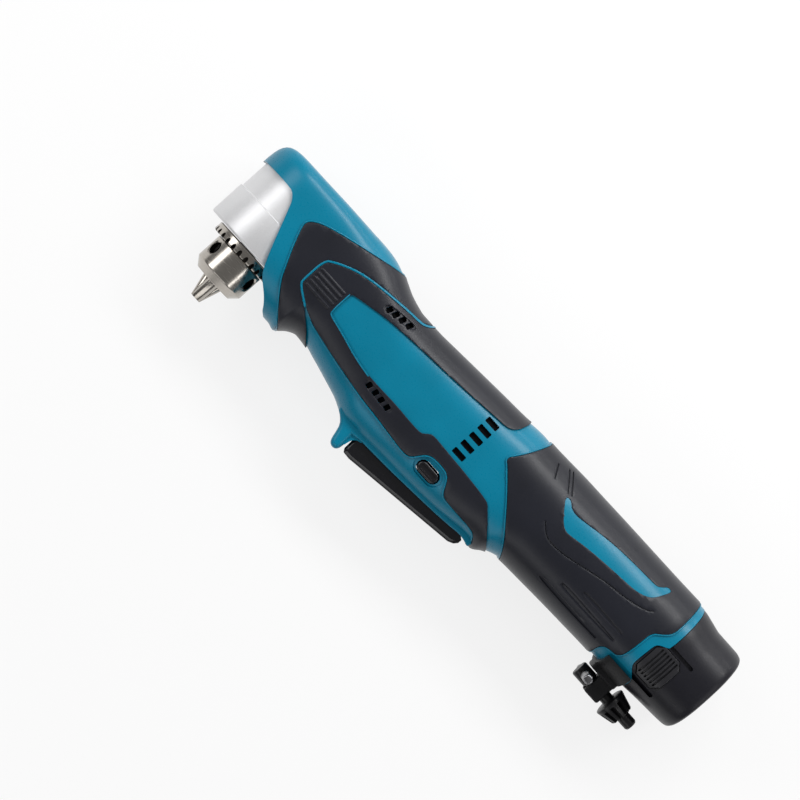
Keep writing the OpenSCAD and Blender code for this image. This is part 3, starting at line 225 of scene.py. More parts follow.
def rod(name, radius, length, centre, axis="Z", vertices=64):
    clearAll()
    turn = {"X": (0, math.pi / 2, 0), "Y": (-math.pi / 2, 0, 0), "Z": (0, 0, 0)}[axis]
    bpy.ops.mesh.primitive_cylinder_add(vertices=vertices, radius=radius, depth=length,
                                        location=centre, rotation=turn)
    piece = named(name)
    bpy.ops.object.transform_apply(location=True, rotation=True, scale=True)
    return piece


def spun(name, profile, axis="Y", steps=96):
    # a profile of (radius, height) points is joined up and spun about its axis
    clearAll()
    bpy.ops.mesh.primitive_circle_add(vertices=len(profile), radius=1, fill_type="NOTHING")
    piece = named(name)
    for point, (r, h) in zip(piece.data.vertices, profile):
        point.co = (r, h, 0) if axis == "Y" else (h, r, 0)
    openEdit(piece)
    bpy.ops.mesh.spin(steps=steps, angle=2 * math.pi, center=(0, 0, 0),
                      axis=(0, 1, 0) if axis == "Y" else (1, 0, 0))
    bpy.ops.mesh.select_all(action="SELECT")
    bpy.ops.mesh.remove_doubles(threshold=mergeGap)
    bpy.ops.mesh.normals_make_consistent(inside=False)
    closeEdit()
    return piece


def cutWith(piece, cutter, operation="DIFFERENCE", keep=False):
    pick(piece)
    bpy.ops.object.modifier_add(type="BOOLEAN")
    step = piece.modifiers[-1]
    step.operation = operation
    step.solver = "MANIFOLD"
    step.object = cutter
    bpy.ops.object.modifier_apply(modifier=step.name)
    if not keep:
        remove(cutter)
    return piece


def bevelEdges(piece, width, segments=3, angle=35, clamp=True):
    pick(piece)
    bpy.ops.object.modifier_add(type="BEVEL")
    step = piece.modifiers[-1]
    step.width = width
    step.segments = segments
    step.limit_method = "ANGLE"
    step.angle_limit = math.radians(angle)
    step.use_clamp_overlap = clamp
    bpy.ops.object.modifier_apply(modifier=step.name)
    return piece


def tidyMesh(piece, near=mergeGap):
    openEdit(piece)
    bpy.ops.mesh.remove_doubles(threshold=near)
    bpy.ops.mesh.select_all(action="SELECT")
    bpy.ops.mesh.dissolve_degenerate(threshold=near)
    closeEdit()


def softRim(piece, width, near=0.12, angle=55):
    # short edges are merged, then the rim of a skin is rounded a little
    tidyMesh(piece, near)
    bevelEdges(piece, width, segments=2, angle=angle, clamp=False)


def shadeSoft(piece, angle=32):
    pick(piece)
    bpy.ops.object.shade_smooth_by_angle(angle=math.radians(angle))


def mirrored(piece, name):
    other = copyOf(piece, name)
    openEdit(other)
    bpy.ops.transform.resize(value=(1, 1, -1), center_override=(0, 0, 0))
    bpy.ops.mesh.flip_normals()
    closeEdit()
    return other


def dropFlakes(piece):
    # cuts can leave folded faces, which fall apart into pairs back to back on the same points
    openEdit(piece, "DESELECT")
    bpy.ops.mesh.select_mode(type="FACE")
    bpy.ops.mesh.select_face_by_sides(number=4, type="GREATER")
    bpy.ops.mesh.quads_convert_to_tris(ngon_method="BEAUTY")
    closeEdit()
    places = {}
    for face in piece.data.polygons:
        places.setdefault(frozenset(face.vertices), []).append(face.index)
    flakes = [index for faces in places.values() for index in faces[:len(faces) // 2 * 2]]
    if not flakes:
        return
    openEdit(piece, "DESELECT")
    bpy.ops.mesh.select_mode(type="FACE")
    closeEdit()
    for index in flakes:
        piece.data.polygons[index].select = True
    bpy.ops.object.mode_set(mode="EDIT")
    bpy.ops.mesh.delete(type="FACE")
    closeEdit()


def settle(piece, body, slot, material, *replaced, angle=32):
    # from millimetres in the drill's frame to metres where the CAD lies
    dropFlakes(piece)
    shadeSoft(piece, angle)
    pick(piece)
    piece.scale = (toolPlace["scale"],) * 3
    piece.location = (toolPlace["x"], toolPlace["y"], toolPlace["z"])
    bpy.ops.object.transform_apply(location=True, rotation=True, scale=True)
    piece.data.materials.clear()
    piece.data.materials.append(material)
    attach(piece, body)
    if replaced:
        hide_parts(*replaced)
    return piece


def settlePair(left, slot, material, *nodes):
    # a left piece and its mirrored right one, both on the housing
    right = mirrored(left, left.name.replace("Left", "Right"))
    for i, piece in enumerate((left, right)):
        settle(piece, "housing", slot, material, *nodes[i:i + 1])


# materials: all read Object coordinates in metres

plasticFinish = {"driftScale": 45, "detail": 3, "smoother": 0.05, "rougher": 0.07, "bump": 0.35}
metalFinish = {"detail": 4, "smoother": 0.06, "rougher": 0.08, "bump": 0.25}
noiseSpan = (0.3, 0.7)  # the part of a noise that is spread over the whole range


def startMaterial(name, colour, roughness, metal=0.0):
    material = bpy.data.materials.new(name)
    material.use_nodes = True
    shader = material.node_tree.nodes["Principled BSDF"]
    shader.inputs["Base Color"].default_value = (*colour, 1)
    shader.inputs["Roughness"].default_value = roughness
    shader.inputs["Metallic"].default_value = metal
    return material, material.node_tree.nodes, material.node_tree.links, shader


def grain(tree, links, scale, detail=4.0, stretch=(1, 1, 1)):
    place = tree.new("ShaderNodeTexCoord")
    mapping = tree.new("ShaderNodeMapping")
    mapping.inputs["Scale"].default_value = stretch
    links.new(place.outputs["Object"], mapping.inputs["Vector"])
    noise = tree.new("ShaderNodeTexNoise")
    noise.inputs["Scale"].default_value = scale
    noise.inputs["Detail"].default_value = detail
    links.new(mapping.outputs["Vector"], noise.inputs["Vector"])
    return noise


def tinted(tree, links, shader, noise, colour, spread):
    ramp = tree.new("ShaderNodeValToRGB")
    for stop, position, level in zip(ramp.color_ramp.elements, noiseSpan, (1 - spread, 1 + spread)):
        stop.position = position
        stop.color = (*[min(c * level, 1) for c in colour], 1)
    links.new(noise.outputs["Fac"], ramp.inputs["Fac"])
    links.new(ramp.outputs["Color"], shader.inputs["Base Color"])


def roughened(tree, links, shader, noise, low, high):
    spread = tree.new("ShaderNodeMapRange")
    spread.inputs["From Min"].default_value = noiseSpan[0]
    spread.inputs["From Max"].default_value = noiseSpan[1]
    spread.inputs["To Min"].default_value = low
    spread.inputs["To Max"].default_value = high
    links.new(noise.outputs["Fac"], spread.inputs["Value"])
    links.new(spread.outputs["Result"], shader.inputs["Roughness"])


def bumped(tree, links, shader, noise, strength, depth):
    bump = tree.new("ShaderNodeBump")
    bump.inputs["Strength"].default_value = strength
    bump.inputs["Distance"].default_value = depth
    links.new(noise.outputs["Fac"], bump.inputs["Height"])
    links.new(bump.outputs["Normal"], shader.inputs["Normal"])


def mouldedPlastic(name, colour, spread, roughness, texture, depth, shine=0.3):
    # moulded plastic: faint colour drift, eroded mould texture, uneven sheen
    look = plasticFinish
    material, tree, links, shader = startMaterial(name, colour, roughness)
    drift = grain(tree, links, look["driftScale"], look["detail"])
    tinted(tree, links, shader, drift, colour, spread)
    fine = grain(tree, links, texture, look["detail"])
    roughened(tree, links, shader, fine, roughness - look["smoother"], roughness + look["rougher"])
    bumped(tree, links, shader, fine, look["bump"], depth)
    shader.inputs["Specular IOR Level"].default_value = shine
    return material


def workedMetal(name, colour, roughness, spread, stretch, scale, depth):
    # metal with the fine marks of turning, casting or drawing
    look = metalFinish
    material, tree, links, shader = startMaterial(name, colour, roughness, metal=1.0)
    marks = grain(tree, links, scale, look["detail"], stretch)
    tinted(tree, links, shader, marks, colour, spread)
    roughened(tree, links, shader, marks, roughness - look["smoother"], roughness + look["rougher"])
    bumped(tree, links, shader, marks, look["bump"], depth)
    return material


# plastics: colour, colour spread, roughness, texture scale, texture depth, shine
# metals: colour, roughness, colour spread, stretch of the marks, their scale and depth
tealPlastic = mouldedPlastic("tealPlastic", (0.0, 0.176, 0.285), 0.06, 0.30, 1500, 0.00002, 0.28)
softGripRubber = mouldedPlastic("softGripRubber", (0.010, 0.011, 0.017), 0.12, 0.38, 1900, 0.00003, 0.34)
glossBlack = mouldedPlastic("glossBlack", (0.005, 0.005, 0.007), 0.1, 0.22, 700, 0.00001, 0.5)
blackPlastic = mouldedPlastic("blackPlastic", (0.006, 0.006, 0.008), 0.1, 0.34, 1600, 0.00003, 0.45)
# painted shade: near-black, dull screens put behind the vent slots where there is only shade
shadeScreenBlack = mouldedPlastic("shadeScreenBlack", (0.0015, 0.0015, 0.002), 0.2, 0.85, 900, 0.00004, 0.1)
batteryPlastic = mouldedPlastic("batteryPlastic", (0.008, 0.008, 0.012), 0.1, 0.38, 1700, 0.00003, 0.3)
keyBlack = mouldedPlastic("keyBlack", (0.008, 0.008, 0.009), 0.2, 0.34, 900, 0.00002)
headAlloy = workedMetal("headAlloy", (0.68, 0.68, 0.69), 0.40, 0.03, (1, 1, 1), 1800, 0.00002)
headAlloy.node_tree.nodes["Principled BSDF"].inputs["Metallic"].default_value = 0.45
chuckSteel = workedMetal("chuckSteel", (0.45, 0.42, 0.38), 0.2, 0.05, (1, 14, 1), 260, 0.000003)
# painted shade: dark, dull steel for the chuck's hollows and the toothed ring under the gear case
shadeInnerSteel = workedMetal("shadeInnerSteel", (0.05, 0.045, 0.04), 0.4, 0.1, (1, 8, 1), 260, 0.00001)
buttonBlack = mouldedPlastic("buttonBlack", (0.016, 0.016, 0.019), 0.1, 0.36, 1500, 0.00001, 0.4)
barSteel = workedMetal("barSteel", (0.22, 0.22, 0.23), 0.28, 0.1, (1, 1, 6), 300, 0.00001)
holderRubber = mouldedPlastic("holderRubber", (0.004, 0.004, 0.005), 0.15, 0.5, 1500, 0.00004, 0.25)
gearSteel = workedMetal("gearSteel", (0.50, 0.50, 0.50), 0.32, 0.08, (1, 1, 1), 500, 0.00001)
springSteel = workedMetal("springSteel", (0.60, 0.60, 0.60), 0.28, 0.05, (1, 1, 1), 900, 0.00001)
bearingBronze = workedMetal("bearingBronze", (0.60, 0.42, 0.20), 0.38, 0.1, (1, 1, 1), 700, 0.00001)
woundCopper = workedMetal("woundCopper", (0.70, 0.35, 0.20), 0.36, 0.15, (9, 1, 1), 160, 0.00006)
ferrite = mouldedPlastic("ferrite", (0.06, 0.06, 0.065), 0.15, 0.6, 800, 0.00004)
cellWrap = mouldedPlastic("cellWrap", (0.03, 0.20, 0.36), 0.05, 0.3, 400, 0.00001)
contactMetal = workedMetal("contactMetal", (0.75, 0.60, 0.25), 0.26, 0.06, (1, 1, 1), 600, 0.00001)
leadJacket = mouldedPlastic("leadJacket", (0.03, 0.03, 0.03), 0.1, 0.45, 1000, 0.00002)
boardGreen = mouldedPlastic("boardGreen", (0.02, 0.12, 0.05), 0.2, 0.4, 300, 0.00002)
lampClear, lampTree, lampLinks, lampShader = startMaterial("lampClear", (0.92, 0.94, 0.96), 0.08)
lampShader.inputs["Transmission Weight"].default_value = 0.85
bumped(lampTree, lampLinks, lampShader, grain(lampTree, lampLinks, 700, 2), 0.2, 0.00003)

slotMaterials = {
    "housing_plastic": tealPlastic, "soft_grip": softGripRubber, "gloss_black": glossBlack,
    "black_plastic": blackPlastic, "battery_plastic": batteryPlastic, "head_alloy": headAlloy,
    "chuck_steel": chuckSteel, "key_steel": keyBlack, "gear_steel": gearSteel,
    "spring_steel": springSteel, "bronze": bearingBronze, "copper": woundCopper,
    "magnet": ferrite, "cell_wrap": cellWrap, "contact": contactMetal,
    "lead_jacket": leadJacket, "lamp_clear": lampClear, "board_green": boardGreen,
}
for entry in frame["record"]["subparts"]:
    node = nodes[entry["node"]]
    node.data.materials.clear()
    node.data.materials.append(slotMaterials[entry["material_slot"]])
print("materials made:", len(slotMaterials))


# the handle's form: rows of place, top, bottom, half width and squareness

handle = {
    "rows": [
        (0, 28.7, 33, 25, 7), (20, 29, 33, 24.8, 6), (30, 29, 33, 24.6, 5),
        (34, 29, 33.8, 24.5, 4.6), (36, 29.1, 31.3, 24.4, 4.4), (39, 29.1, 28.4, 24.3, 4.2),
        (43, 29, 26.6, 24.2, 3.9), (48, 28.5, 26.9, 24, 3.5), (55, 26.6, 28.5, 23.9, 3.2),
        (60, 24.5, 29.6, 23.7, 3), (65, 22.5, 30.8, 23.4, 2.9), (70, 21.2, 32, 23, 2.8),
        (75, 20.4, 33.3, 22.8, 2.7), (85, 20.4, 36.8, 22.7, 2.6), (95, 21, 37, 22.7, 2.6),
        (110, 22, 36.2, 22.9, 2.6), (125, 23, 35.4, 23.2, 2.6), (140, 23.9, 34.2, 23.7, 2.6),
        (146, 24.8, 33.3, 24, 2.6), (152, 25.2, 32.3, 24.2, 2.6), (158, 24.9, 31.6, 24.5, 2.6),
        (166, 25.1, 32.6, 24.8, 2.6), (171, 25.3, 29.2, 25, 2.6), (179, 25.6, 26.4, 25.2, 2.5),
        (190, 25.7, 25.8, 25.3, 2.5), (205, 25.9, 25.1, 25.3, 2.5), (220, 26, 24.6, 25.3, 2.5),
        (236, 26.1, 24.2, 25.2, 2.5), (253, 26.4, 24.3, 24.9, 2.5), (258, 26.5, 24.1, 24.85, 2.5)],
    "headR": 25, "headTop": 28.7, "chin": 33, "frontSquare": 6, "headSquare": 7, "bellySquare": 2.6,
    "flankSquare": 3.2, "flank": ((74, 90), (166, 152)),
    "frontAngles": [88, 85, 81, 77, 72, 67, 61, 55, 48, 41, 34, 27, 20, 13, 6],
    "around": 120, "parts": 4, "gripProud": 0.9, "gripBed": -0.25, "inside": -1.5,
}


def slopeAt(rows, i, c):
    def secant(k):
        return (rows[k + 1][c] - rows[k][c]) / (rows[k + 1][0] - rows[k][0])
    if i == 0:
        return secant(0)
    if i == len(rows) - 1:
        return secant(i - 1)
    a, b = secant(i - 1), secant(i)
    return 0 if a * b <= 0 else 2 * a * b / (a + b)


def smoothRows(rows, parts):
    out = []
    for i in range(len(rows) - 1):
        w = rows[i + 1][0] - rows[i][0]
        for k in range(parts):
            t = k / parts
            row = [rows[i][0] + w * t]
            for c in range(1, len(rows[0])):
                row.append(rows[i][c] * (2 * t ** 3 - 3 * t ** 2 + 1)
                           + rows[i + 1][c] * (3 * t ** 2 - 2 * t ** 3)
                           + w * slopeAt(rows, i, c) * (t ** 3 - 2 * t ** 2 + t)
                           + w * slopeAt(rows, i + 1, c) * (t ** 3 - t ** 2))
            out.append(row)
    out.append(list(rows[-1]))
    return out


def quarter(top, width, square, count, fine=160):
    # points along a quarter of a rounded section, evenly spaced
    line = []
    for k in range(fine + 1):
        a = math.pi / 2 * k / fine
        line.append((top * math.sin(a) ** (2 / square), width * max(math.cos(a), 0) ** (2 / square)))
    travelled = [0]
    for a, b in zip(line, line[1:]):
        travelled.append(travelled[-1] + math.hypot(b[0] - a[0], b[1] - a[1]))
    out, k = [], 0
    for j in range(count):
        goal = travelled[-1] * j / count
        while travelled[k + 1] < goal:
            k += 1
        span = travelled[k + 1] - travelled[k]
        t = (goal - travelled[k]) / span if span else 0
        out.append((line[k][0] + t * (line[k + 1][0] - line[k][0]),
                    line[k][1] + t * (line[k + 1][1] - line[k][1])))
    return out + [line[-1]]


def sectionRing(x, top, bottom, width, square, belly, count):
    q = count // 4
    up = quarter(top, width, square, q)
    down = quarter(bottom, width, belly, q)
    ring = [(x, y, z) for y, z in up[:q]]
    ring += [(x, y, -z) for y, z in up[:0:-1]]
    ring += [(x, -y, -z) for y, z in down[:q]]
    ring += [(x, -y, z) for y, z in down[:0:-1]]
    return ring


def loftPiece(name, rings):
    # a grid is wrapped round the rings, closed along its seam and at its ends
    clearAll()
    count = len(rings[0])
    bpy.ops.mesh.primitive_grid_add(x_subdivisions=count, y_subdivisions=len(rings) - 1, size=1)
    piece = named(name)
    places = []
    for ring in rings:
        for p in list(ring) + [ring[0]]:
            places.extend(p)
    piece.data.vertices.foreach_set("co", places)
    openEdit(piece)
    bpy.ops.mesh.remove_doubles(threshold=mergeGap)
    bpy.ops.mesh.select_all(action="SELECT")
    bpy.ops.mesh.fill_holes(sides=0)
    bpy.ops.mesh.select_all(action="SELECT")
    bpy.ops.mesh.normals_make_consistent(inside=False)
    closeEdit()
    return piece


def bellyAt(x):
    # the flanks beside the trigger are fuller than the rest of the belly
    share = 1
    for start, full in handle["flank"]:
        t = min(max((x - start) / (full - start), 0), 1)
        share *= t * t * (3 - 2 * t)
    return handle["bellySquare"] + share * (handle["flankSquare"] - handle["bellySquare"])


def handleForm(name, grow):
    rings = []
    r, n = handle["headR"] + grow, handle["frontSquare"]
    for a in handle["frontAngles"]:
        s, c = math.sin(math.radians(a)), math.cos(math.radians(a))
        rings.append(sectionRing(-r * s, (handle["headTop"] + grow) * (1 - s ** n) ** (1 / n),
                                 handle["chin"] + grow, r * c, handle["headSquare"],
                                 handle["bellySquare"], handle["around"]))
    for x, top, bottom, width, square in smoothRows(handle["rows"], handle["parts"]):
        rings.append(sectionRing(x, top + grow, bottom + grow, width + grow, square,
                                 bellyAt(x), handle["around"]))
    return loftPiece(name, rings)


bodyForm = handleForm("bodyForm", 0)
gripForm = handleForm("gripForm", handle["gripProud"])
gripBed = handleForm("gripBed", handle["gripBed"])
hollowForm = handleForm("hollowForm", handle["inside"])
print("handle forms:", len(bodyForm.data.polygons), "faces each")


# housing halves: shell with vents, trigger slot, hook and battery collar

housing = {
    "seam": 0.04,
    "coverEdge": [(-35, 14.6), (-6, 14.6), (-3.5, 13.7), (-1.2, 11.5), (0, 9.5), (12.2, -18), (16, -22),
                  (20.8, -25.5), (24.1, -28.9), (25.2, -31), (26.8, -32.4), (28, -33.6), (28, -60),
                  (-35, -60)],
    "collarEdge": [(257, 40), (257, 3.2), (255, 1.8), (252.5, 0.6), (251, -1), (250.7, -5),
                   (250.5, -12), (251.2, -14.5), (253.5, -16.6), (256, -18.5), (257, -20), (257, -40),
                   (325, -40), (325, 40)],
    "upperVents": [(63.3, 11), (66.8, 11.6), (70.5, 12.2), (74.5, 12.8)],
    "lowerVents": [(82, -17.9), (86.3, -18.1), (90.3, -18.4), (94.5, -18.7)],
    "rearVents": [(131, 11), (131, 6.2), (131, 1.2), (131, -3.9), (131, -8.9)],
    "shortVent": (3.3, 2.4, 70), "lowVent": (3.0, 2.4, 75), "longVent": (6.8, 2.8, 0), "ventCorner": 0.5,
    "reverseAt": (127.75, -24.3), "reverseRecess": (15.6, 9), "recessDepth": 0.7,
    "recessLow": 5, "reverseHole": (12.8, 6.6),
    "cheek": [(82, -30), (86, -34.4), (89.5, -37), (92.4, -38.5), (95, -38), (98, -37.4), (103, -37.2),
              (116, -36.6), (128, -35.7), (142, -34.6), (152, -33.5), (158, -32.5), (161.8, -33),
              (163.6, -33.7), (164.8, -33.2), (165, -27), (82, -27)],
    "cheekWide": (9.4, 12), "cheekRound": 1.2,
    "web": [(91, -44.6), (94, -44.6), (94.5, -41.5), (95.2, -39.5), (96.5, -38.5), (99, -37.8),
            (99, -35), (91, -35)],
    "webWide": (9.4, 10.5),
    "triggerSlot": ((93.6, -80, -9.4), (161.75, -30, 9.4)),
    "hook": [(80, -30), (80, -35), (83.5, -37), (86, -39.4), (87.2, -43), (87.9, -45.8), (89, -48),
             (91, -48.8), (93, -48.1), (93.9, -46), (93.6, -42.5), (93.6, -39), (93.6, -30)],
    "hookHalf": 12, "hookRound": 2.6, "hookTrim": ((60, -60, -20), (120, 0)),
    "wallNear": 0.9, "wallFar": 2.5, "caseRoom": 24.4, "caseEnd": -17.8, "chuckRoom": 21,
    "wallTop": 40, "wallIn": -0.6,
    "wallPoints": (4, 12), "lensAt": (29, -36, 0), "lensRoom": 2.95, "lensDepth": 12,
}


def halfOf(piece, name):
    half = copyOf(piece, name)
    openEdit(half)
    bpy.ops.mesh.bisect(plane_co=(0, 0, housing["seam"]), plane_no=(0, 0, 1),
                        clear_inner=True, use_fill=True)
    closeEdit()
    return half


def ventCutters(low=0):
    slots = []
    for row, shape in (("upperVents", "shortVent"), ("lowerVents", "lowVent"), ("rearVents", "longVent")):
        length, height, degrees = housing[shape]
        for place in housing[row]:
            slot = roundRect(place, length, height, housing["ventCorner"], degrees)
            slots.append(outlinePrism("ventSlot", slot, low, farOut))
    return join(*slots)


def coverCutter():
    return outlinePrism("coverCut", softOutline(housing["coverEdge"]), -farOut, farOut)


housingLeft = halfOf(bodyForm, "housingLeft")
hookPiece = outlinePrism("hookPiece", softOutline(housing["hook"], 1), housing["seam"], housing["hookHalf"])
bevelEdges(hookPiece, housing["hookRound"], segments=6)
trimLow, trimHigh = housing["hookTrim"]
cutWith(hookPiece, box("hookTrim", trimLow, (*trimHigh, housing["seam"])))
cutWith(housingLeft, hookPiece, "UNION")
cheek = outlinePrism("triggerCheek", softOutline(housing["cheek"], 1), *housing["cheekWide"])
bevelEdges(cheek, housing["cheekRound"], segments=6, angle=60)
cutWith(housingLeft, cheek, "UNION")
hookWeb = outlinePrism("hookWeb", softOutline(housing["web"], 1), *housing["webWide"])
cutWith(housingLeft, hookWeb, "UNION")
cutWith(housingLeft, hollowForm, keep=True)

# wall behind the cover edge that closes the chin around the gear case
edgeRun = housing["coverEdge"][slice(*housing["wallPoints"])]
wallRun = [(x + housing["wallNear"], y + housing["wallNear"]) for x, y in edgeRun]
wallRun += [(x + housing["wallFar"], y + housing["wallFar"]) for x, y in reversed(edgeRun)]
chinWall = outlinePrism("chinWall", wallRun, housing["seam"], housing["wallTop"])
cutWith(chinWall, handleForm("wallForm", housing["wallIn"]), "INTERSECT")
caseMiddle = (0, housing["caseEnd"] + farOut / 2, 0)
cutWith(chinWall, rod("caseRoom", housing["caseRoom"], farOut, caseMiddle, "Y", 96))
cutWith(chinWall, rod("chuckRoom", housing["chuckRoom"], 2 * farOut, (0, 0, 0), "Y", 96))
cutWith(housingLeft, chinWall, "UNION")
lensHole = rod("lensHole", housing["lensRoom"], housing["lensDepth"], housing["lensAt"], "Y", 48)
cutWith(housingLeft, lensHole)
recessFloor = handleForm("recessFloor", -housing["recessDepth"])
dishOutline = roundSlot(housing["reverseAt"], *housing["reverseRecess"], steps=14)
dish = outlinePrism("reverseDish", dishOutline, housing["recessLow"], farOut)
cutWith(dish, recessFloor)
cutWith(housingLeft, dish)
cutWith(housingLeft, coverCutter())
cutWith(housingLeft, outlinePrism("collarCut", softOutline(housing["collarEdge"]), -farOut, farOut))
cutWith(housingLeft, ventCutters())
cutWith(housingLeft, box("slotCut", *housing["triggerSlot"]))
buttonHole = roundSlot(housing["reverseAt"], *housing["reverseHole"])
cutWith(housingLeft, outlinePrism("reverseHole", buttonHole, 0, farOut))
tidyMesh(housingLeft)
housingRight = mirrored(housingLeft, "housingRight")
screws = {"places": [(48, 23.8), (41, -22.4), (84, -30.5), (124, 17.2), (168, 20.5), (168, -24)],
          "bore": 2.95, "depth": -10}
screwBores = join(*[rod("screwBore", screws["bore"], farOut, (x, y, screws["depth"] - farOut / 2), "Z", 32)
                    for x, y in screws["places"]])
cutWith(housingRight, screwBores)
settle(housingLeft, "housing", "housing_plastic", tealPlastic, "housing_left")
settle(housingRight, "housing", "housing_plastic", tealPlastic, "housing_right")
print("housing halves:", len(housingLeft.data.polygons), len(housingRight.data.polygons))


# soft grips: skins over the handle inside their side outlines

grips = {
    "neck": [(60, 35), (60, 27.2), (50, 24.5), (41, 21.8), (31.5, 19.1), (21.5, 16), (16.5, 14.1),
             (13.5, 12.5), (11.2, 10.5), (10.5, 8.5), (11.5, 5.2), (15.5, -3.5), (19.5, -11),
             (21.5, -15), (26, -20.5), (30.5, -25.5), (34.5, -29.8), (36, -31.5), (36, -42.5),
             (53.5, -42.5), (52.5, -32), (49.8, -27.6), (46, -23), (41, -19), (37.2, -16),
             (33.5, -13.9), (29.5, -11.5), (27.8, -9.5), (27.8, 4.2), (31.5, 7.2), (36.2, 9.8),
             (41, 12), (46, 13.5), (50.8, 14.5), (55.5, 15.4), (60.5, 16.1), (65.2, 16.9), (70.2, 17.5),
             (75, 17.9), (78, 18.4), (81, 20.8), (83, 25), (83, 35)],
    "side": [(28.8, 3.8), (31.8, 6.2), (36.2, 8.8), (41, 11), (46, 12.5), (50.8, 13.6), (60.5, 15.2),
             (70.2, 16.5), (75, 16.9), (79, 17.5), (82.5, 20.2), (84.5, 24), (84.5, 35), (143, 35),
             (143, 25), (142.2, 21.8), (141.2, 18.8), (139.2, 16.2), (136.2, 14.6), (129.5, 14),
             (119.8, 12.8), (110, 11.8), (100, 10.8), (85.2, 9.6), (75.5, 8.6), (65.5, 7.3),
             (55.8, 5.2), (48.2, 3.5), (47.2, 2.5), (47.2, -8.5), (48.2, -9.5), (55.8, -10.9),
             (65.5, -13.2), (72.5, -14.5), (80.2, -15.3), (97, -14.9), (105, -15.3), (112.8, -15.3),
             (114.8, -13.4), (117, -11.5), (124.5, -11.9), (134.2, -12.2), (147, -12.9), (153.8, -13.6),
             (156.2, -14.4), (170.5, -27.9), (174.5, -32), (174.5, -42.5), (165.5, -42.5), (165, -32),
             (162.5, -28.2), (159.5, -27), (149.5, -27), (141.5, -26.8), (139.5, -25.6), (137.5, -22.4),
             (135.5, -19.4), (132.5, -17.9), (125.8, -17.9), (122.2, -18.9), (119.8, -21.9),
             (117.8, -25.3), (114.8, -26.6), (105, -25.8), (95, -24.8), (85.2, -24.3), (75.5, -23.1),
             (65.8, -21.8), (56, -20.3), (46.2, -18.7), (39.2, -16.4), (34, -13.1), (30, -10.8),
             (28.8, -9)],
    "rear": [(156.5, 35), (156.5, 25.2), (155, 21.8), (153.2, 17.8), (150.8, 12.8), (147.8, 7.9),
             (146.8, 6.4), (147.2, 4.9), (148.8, 4), (158.5, -4.9), (168.2, -14.8), (173.2, -19.8),
             (178, -25.8), (179.5, -28.5), (179.5, -42.5), (236.5, -42.5), (236, -25), (235.2, -20.5),
             (236.8, -17.9), (239.5, -16.9), (242.8, -16.8), (244.5, -14.9), (245.2, -11.9),
             (245.5, -5), (245.8, 0.4), (246.8, 2.4), (249.2, 4.4), (252, 7.3), (252.7, 9.8),
             (253, 14.8), (253.2, 21.8), (253.5, 26.5), (253.5, 35)],
    "inlay": [(176.5, 13.6), (178.5, 14.3), (180, 13.4), (182, 11.9), (184.9, 11.4), (187.8, 11.7),
              (192.7, 12.7), (197.6, 13.7), (207.3, 15.3), (217, 16.1), (226.8, 16.6), (232.7, 16.9),
              (234.6, 18.3), (237, 20.7), (239, 20.2), (238.5, 18.7), (236.5, 14.8), (234.6, 11.9),
              (231.7, 10), (226.8, 8.5), (217, 7.5), (207.3, 6.5), (197.5, 5.1), (190.7, 3.6),
              (187.8, 3.3), (185.8, 3.9), (182.9, 6), (178, 11.4)],
    "contour": [(178, -0.3), (181.9, -3.7), (185.8, -5.2), (192.6, -4.7), (202.4, -2.2), (209.2, -0.3),
                (217, 1.7), (226.8, 3.1), (236.6, 6), (239.5, 8.5)],
    "diagonals": [[(163.8, 21.2), (167.2, 15.3)], [(169.2, 23.1), (176, 15.3)],
                  [(171.1, 23.6), (178, 15.8)]],
    "slits": [[(212.7, -8.8), (237.5, -8.8)], [(203.4, -13.3), (237.5, -13.3)],
              [(194.6, -18.3), (231.7, -18.3)]],
    "slitWide": 1.7,
    "slitTaper": [(0, 0.4), (0.03, 0.7), (0.08, 0.92), (0.16, 1), (0.4, 1), (0.7, 0.8), (1, 0.45)],
    "ribs": {"x": (30.2, 45.2), "y": [0.9, -1.4, -3.7, -6, -8.5], "height": 0.9, "low": 1, "proud": 1.55},
    "ventRecesses": [[(60.6, 10.2), (61.8, 12.6), (75.5, 15), (77.4, 14.2), (76.6, 11.9), (62.4, 9.4)],
                     [(79.8, -16.2), (96.4, -16.7), (97.2, -18.6), (96.4, -20.3), (81, -19.8), (79.6, -18)]],
    "grooveWide": 0.5, "grooveFloor": 0.35, "cutLow": 0.5, "inlayProud": 0.65, "rim": 0.3,
}


def skinPiece(name, outline, form=None, rounds=2):
    # the handle's form, grown, inside one side outline and hollow underneath
    skin = copyOf(form or gripForm, name)
    sideCut = outlinePrism("sideCut", softOutline(outline, rounds), housing["seam"], farOut)
    cutWith(skin, sideCut, "INTERSECT")
    cutWith(skin, gripBed, keep=True)
    return skin


grooveFloor = handleForm("grooveFloor", grips["grooveFloor"])


def carve(skin, outline):
    # a shallow cut, down to the floor that all grooves share
    cutter = outlinePrism("carving", outline, grips["cutLow"], farOut)
    cutWith(cutter, grooveFloor, keep=True)
    cutWith(skin, cutter)


neckGrip = skinPiece("neckGripLeft", grips["neck"])
sidePanel = skinPiece("sidePanelLeft", grips["side"])
rearGrip = skinPiece("rearGripLeft", grips["rear"])
for skin in (neckGrip, sidePanel):
    cutWith(skin, coverCutter())
cutWith(sidePanel, ventCutters(grips["cutLow"]))
for recess in grips["ventRecesses"]:
    carve(sidePanel, softOutline(recess))
ribs = grips["ribs"]
ribStart, ribEnd = ribs["x"]
bars = []
for y in ribs["y"]:
    bar = roundSlot(((ribStart + ribEnd) / 2, y), ribEnd - ribStart, ribs["height"])
    bars.append(outlinePrism("rib", bar, ribs["low"], farOut))
ribBars = join(*bars)
cutWith(ribBars, handleForm("ribForm", ribs["proud"]), "INTERSECT")
cutWith(ribBars, grooveFloor, keep=True)
cutWith(sidePanel, ribBars, "UNION")
for line in [softOutline(grips["contour"], 2, False)] + grips["diagonals"]:
    carve(rearGrip, stripOutline(line, grips["grooveWide"]))
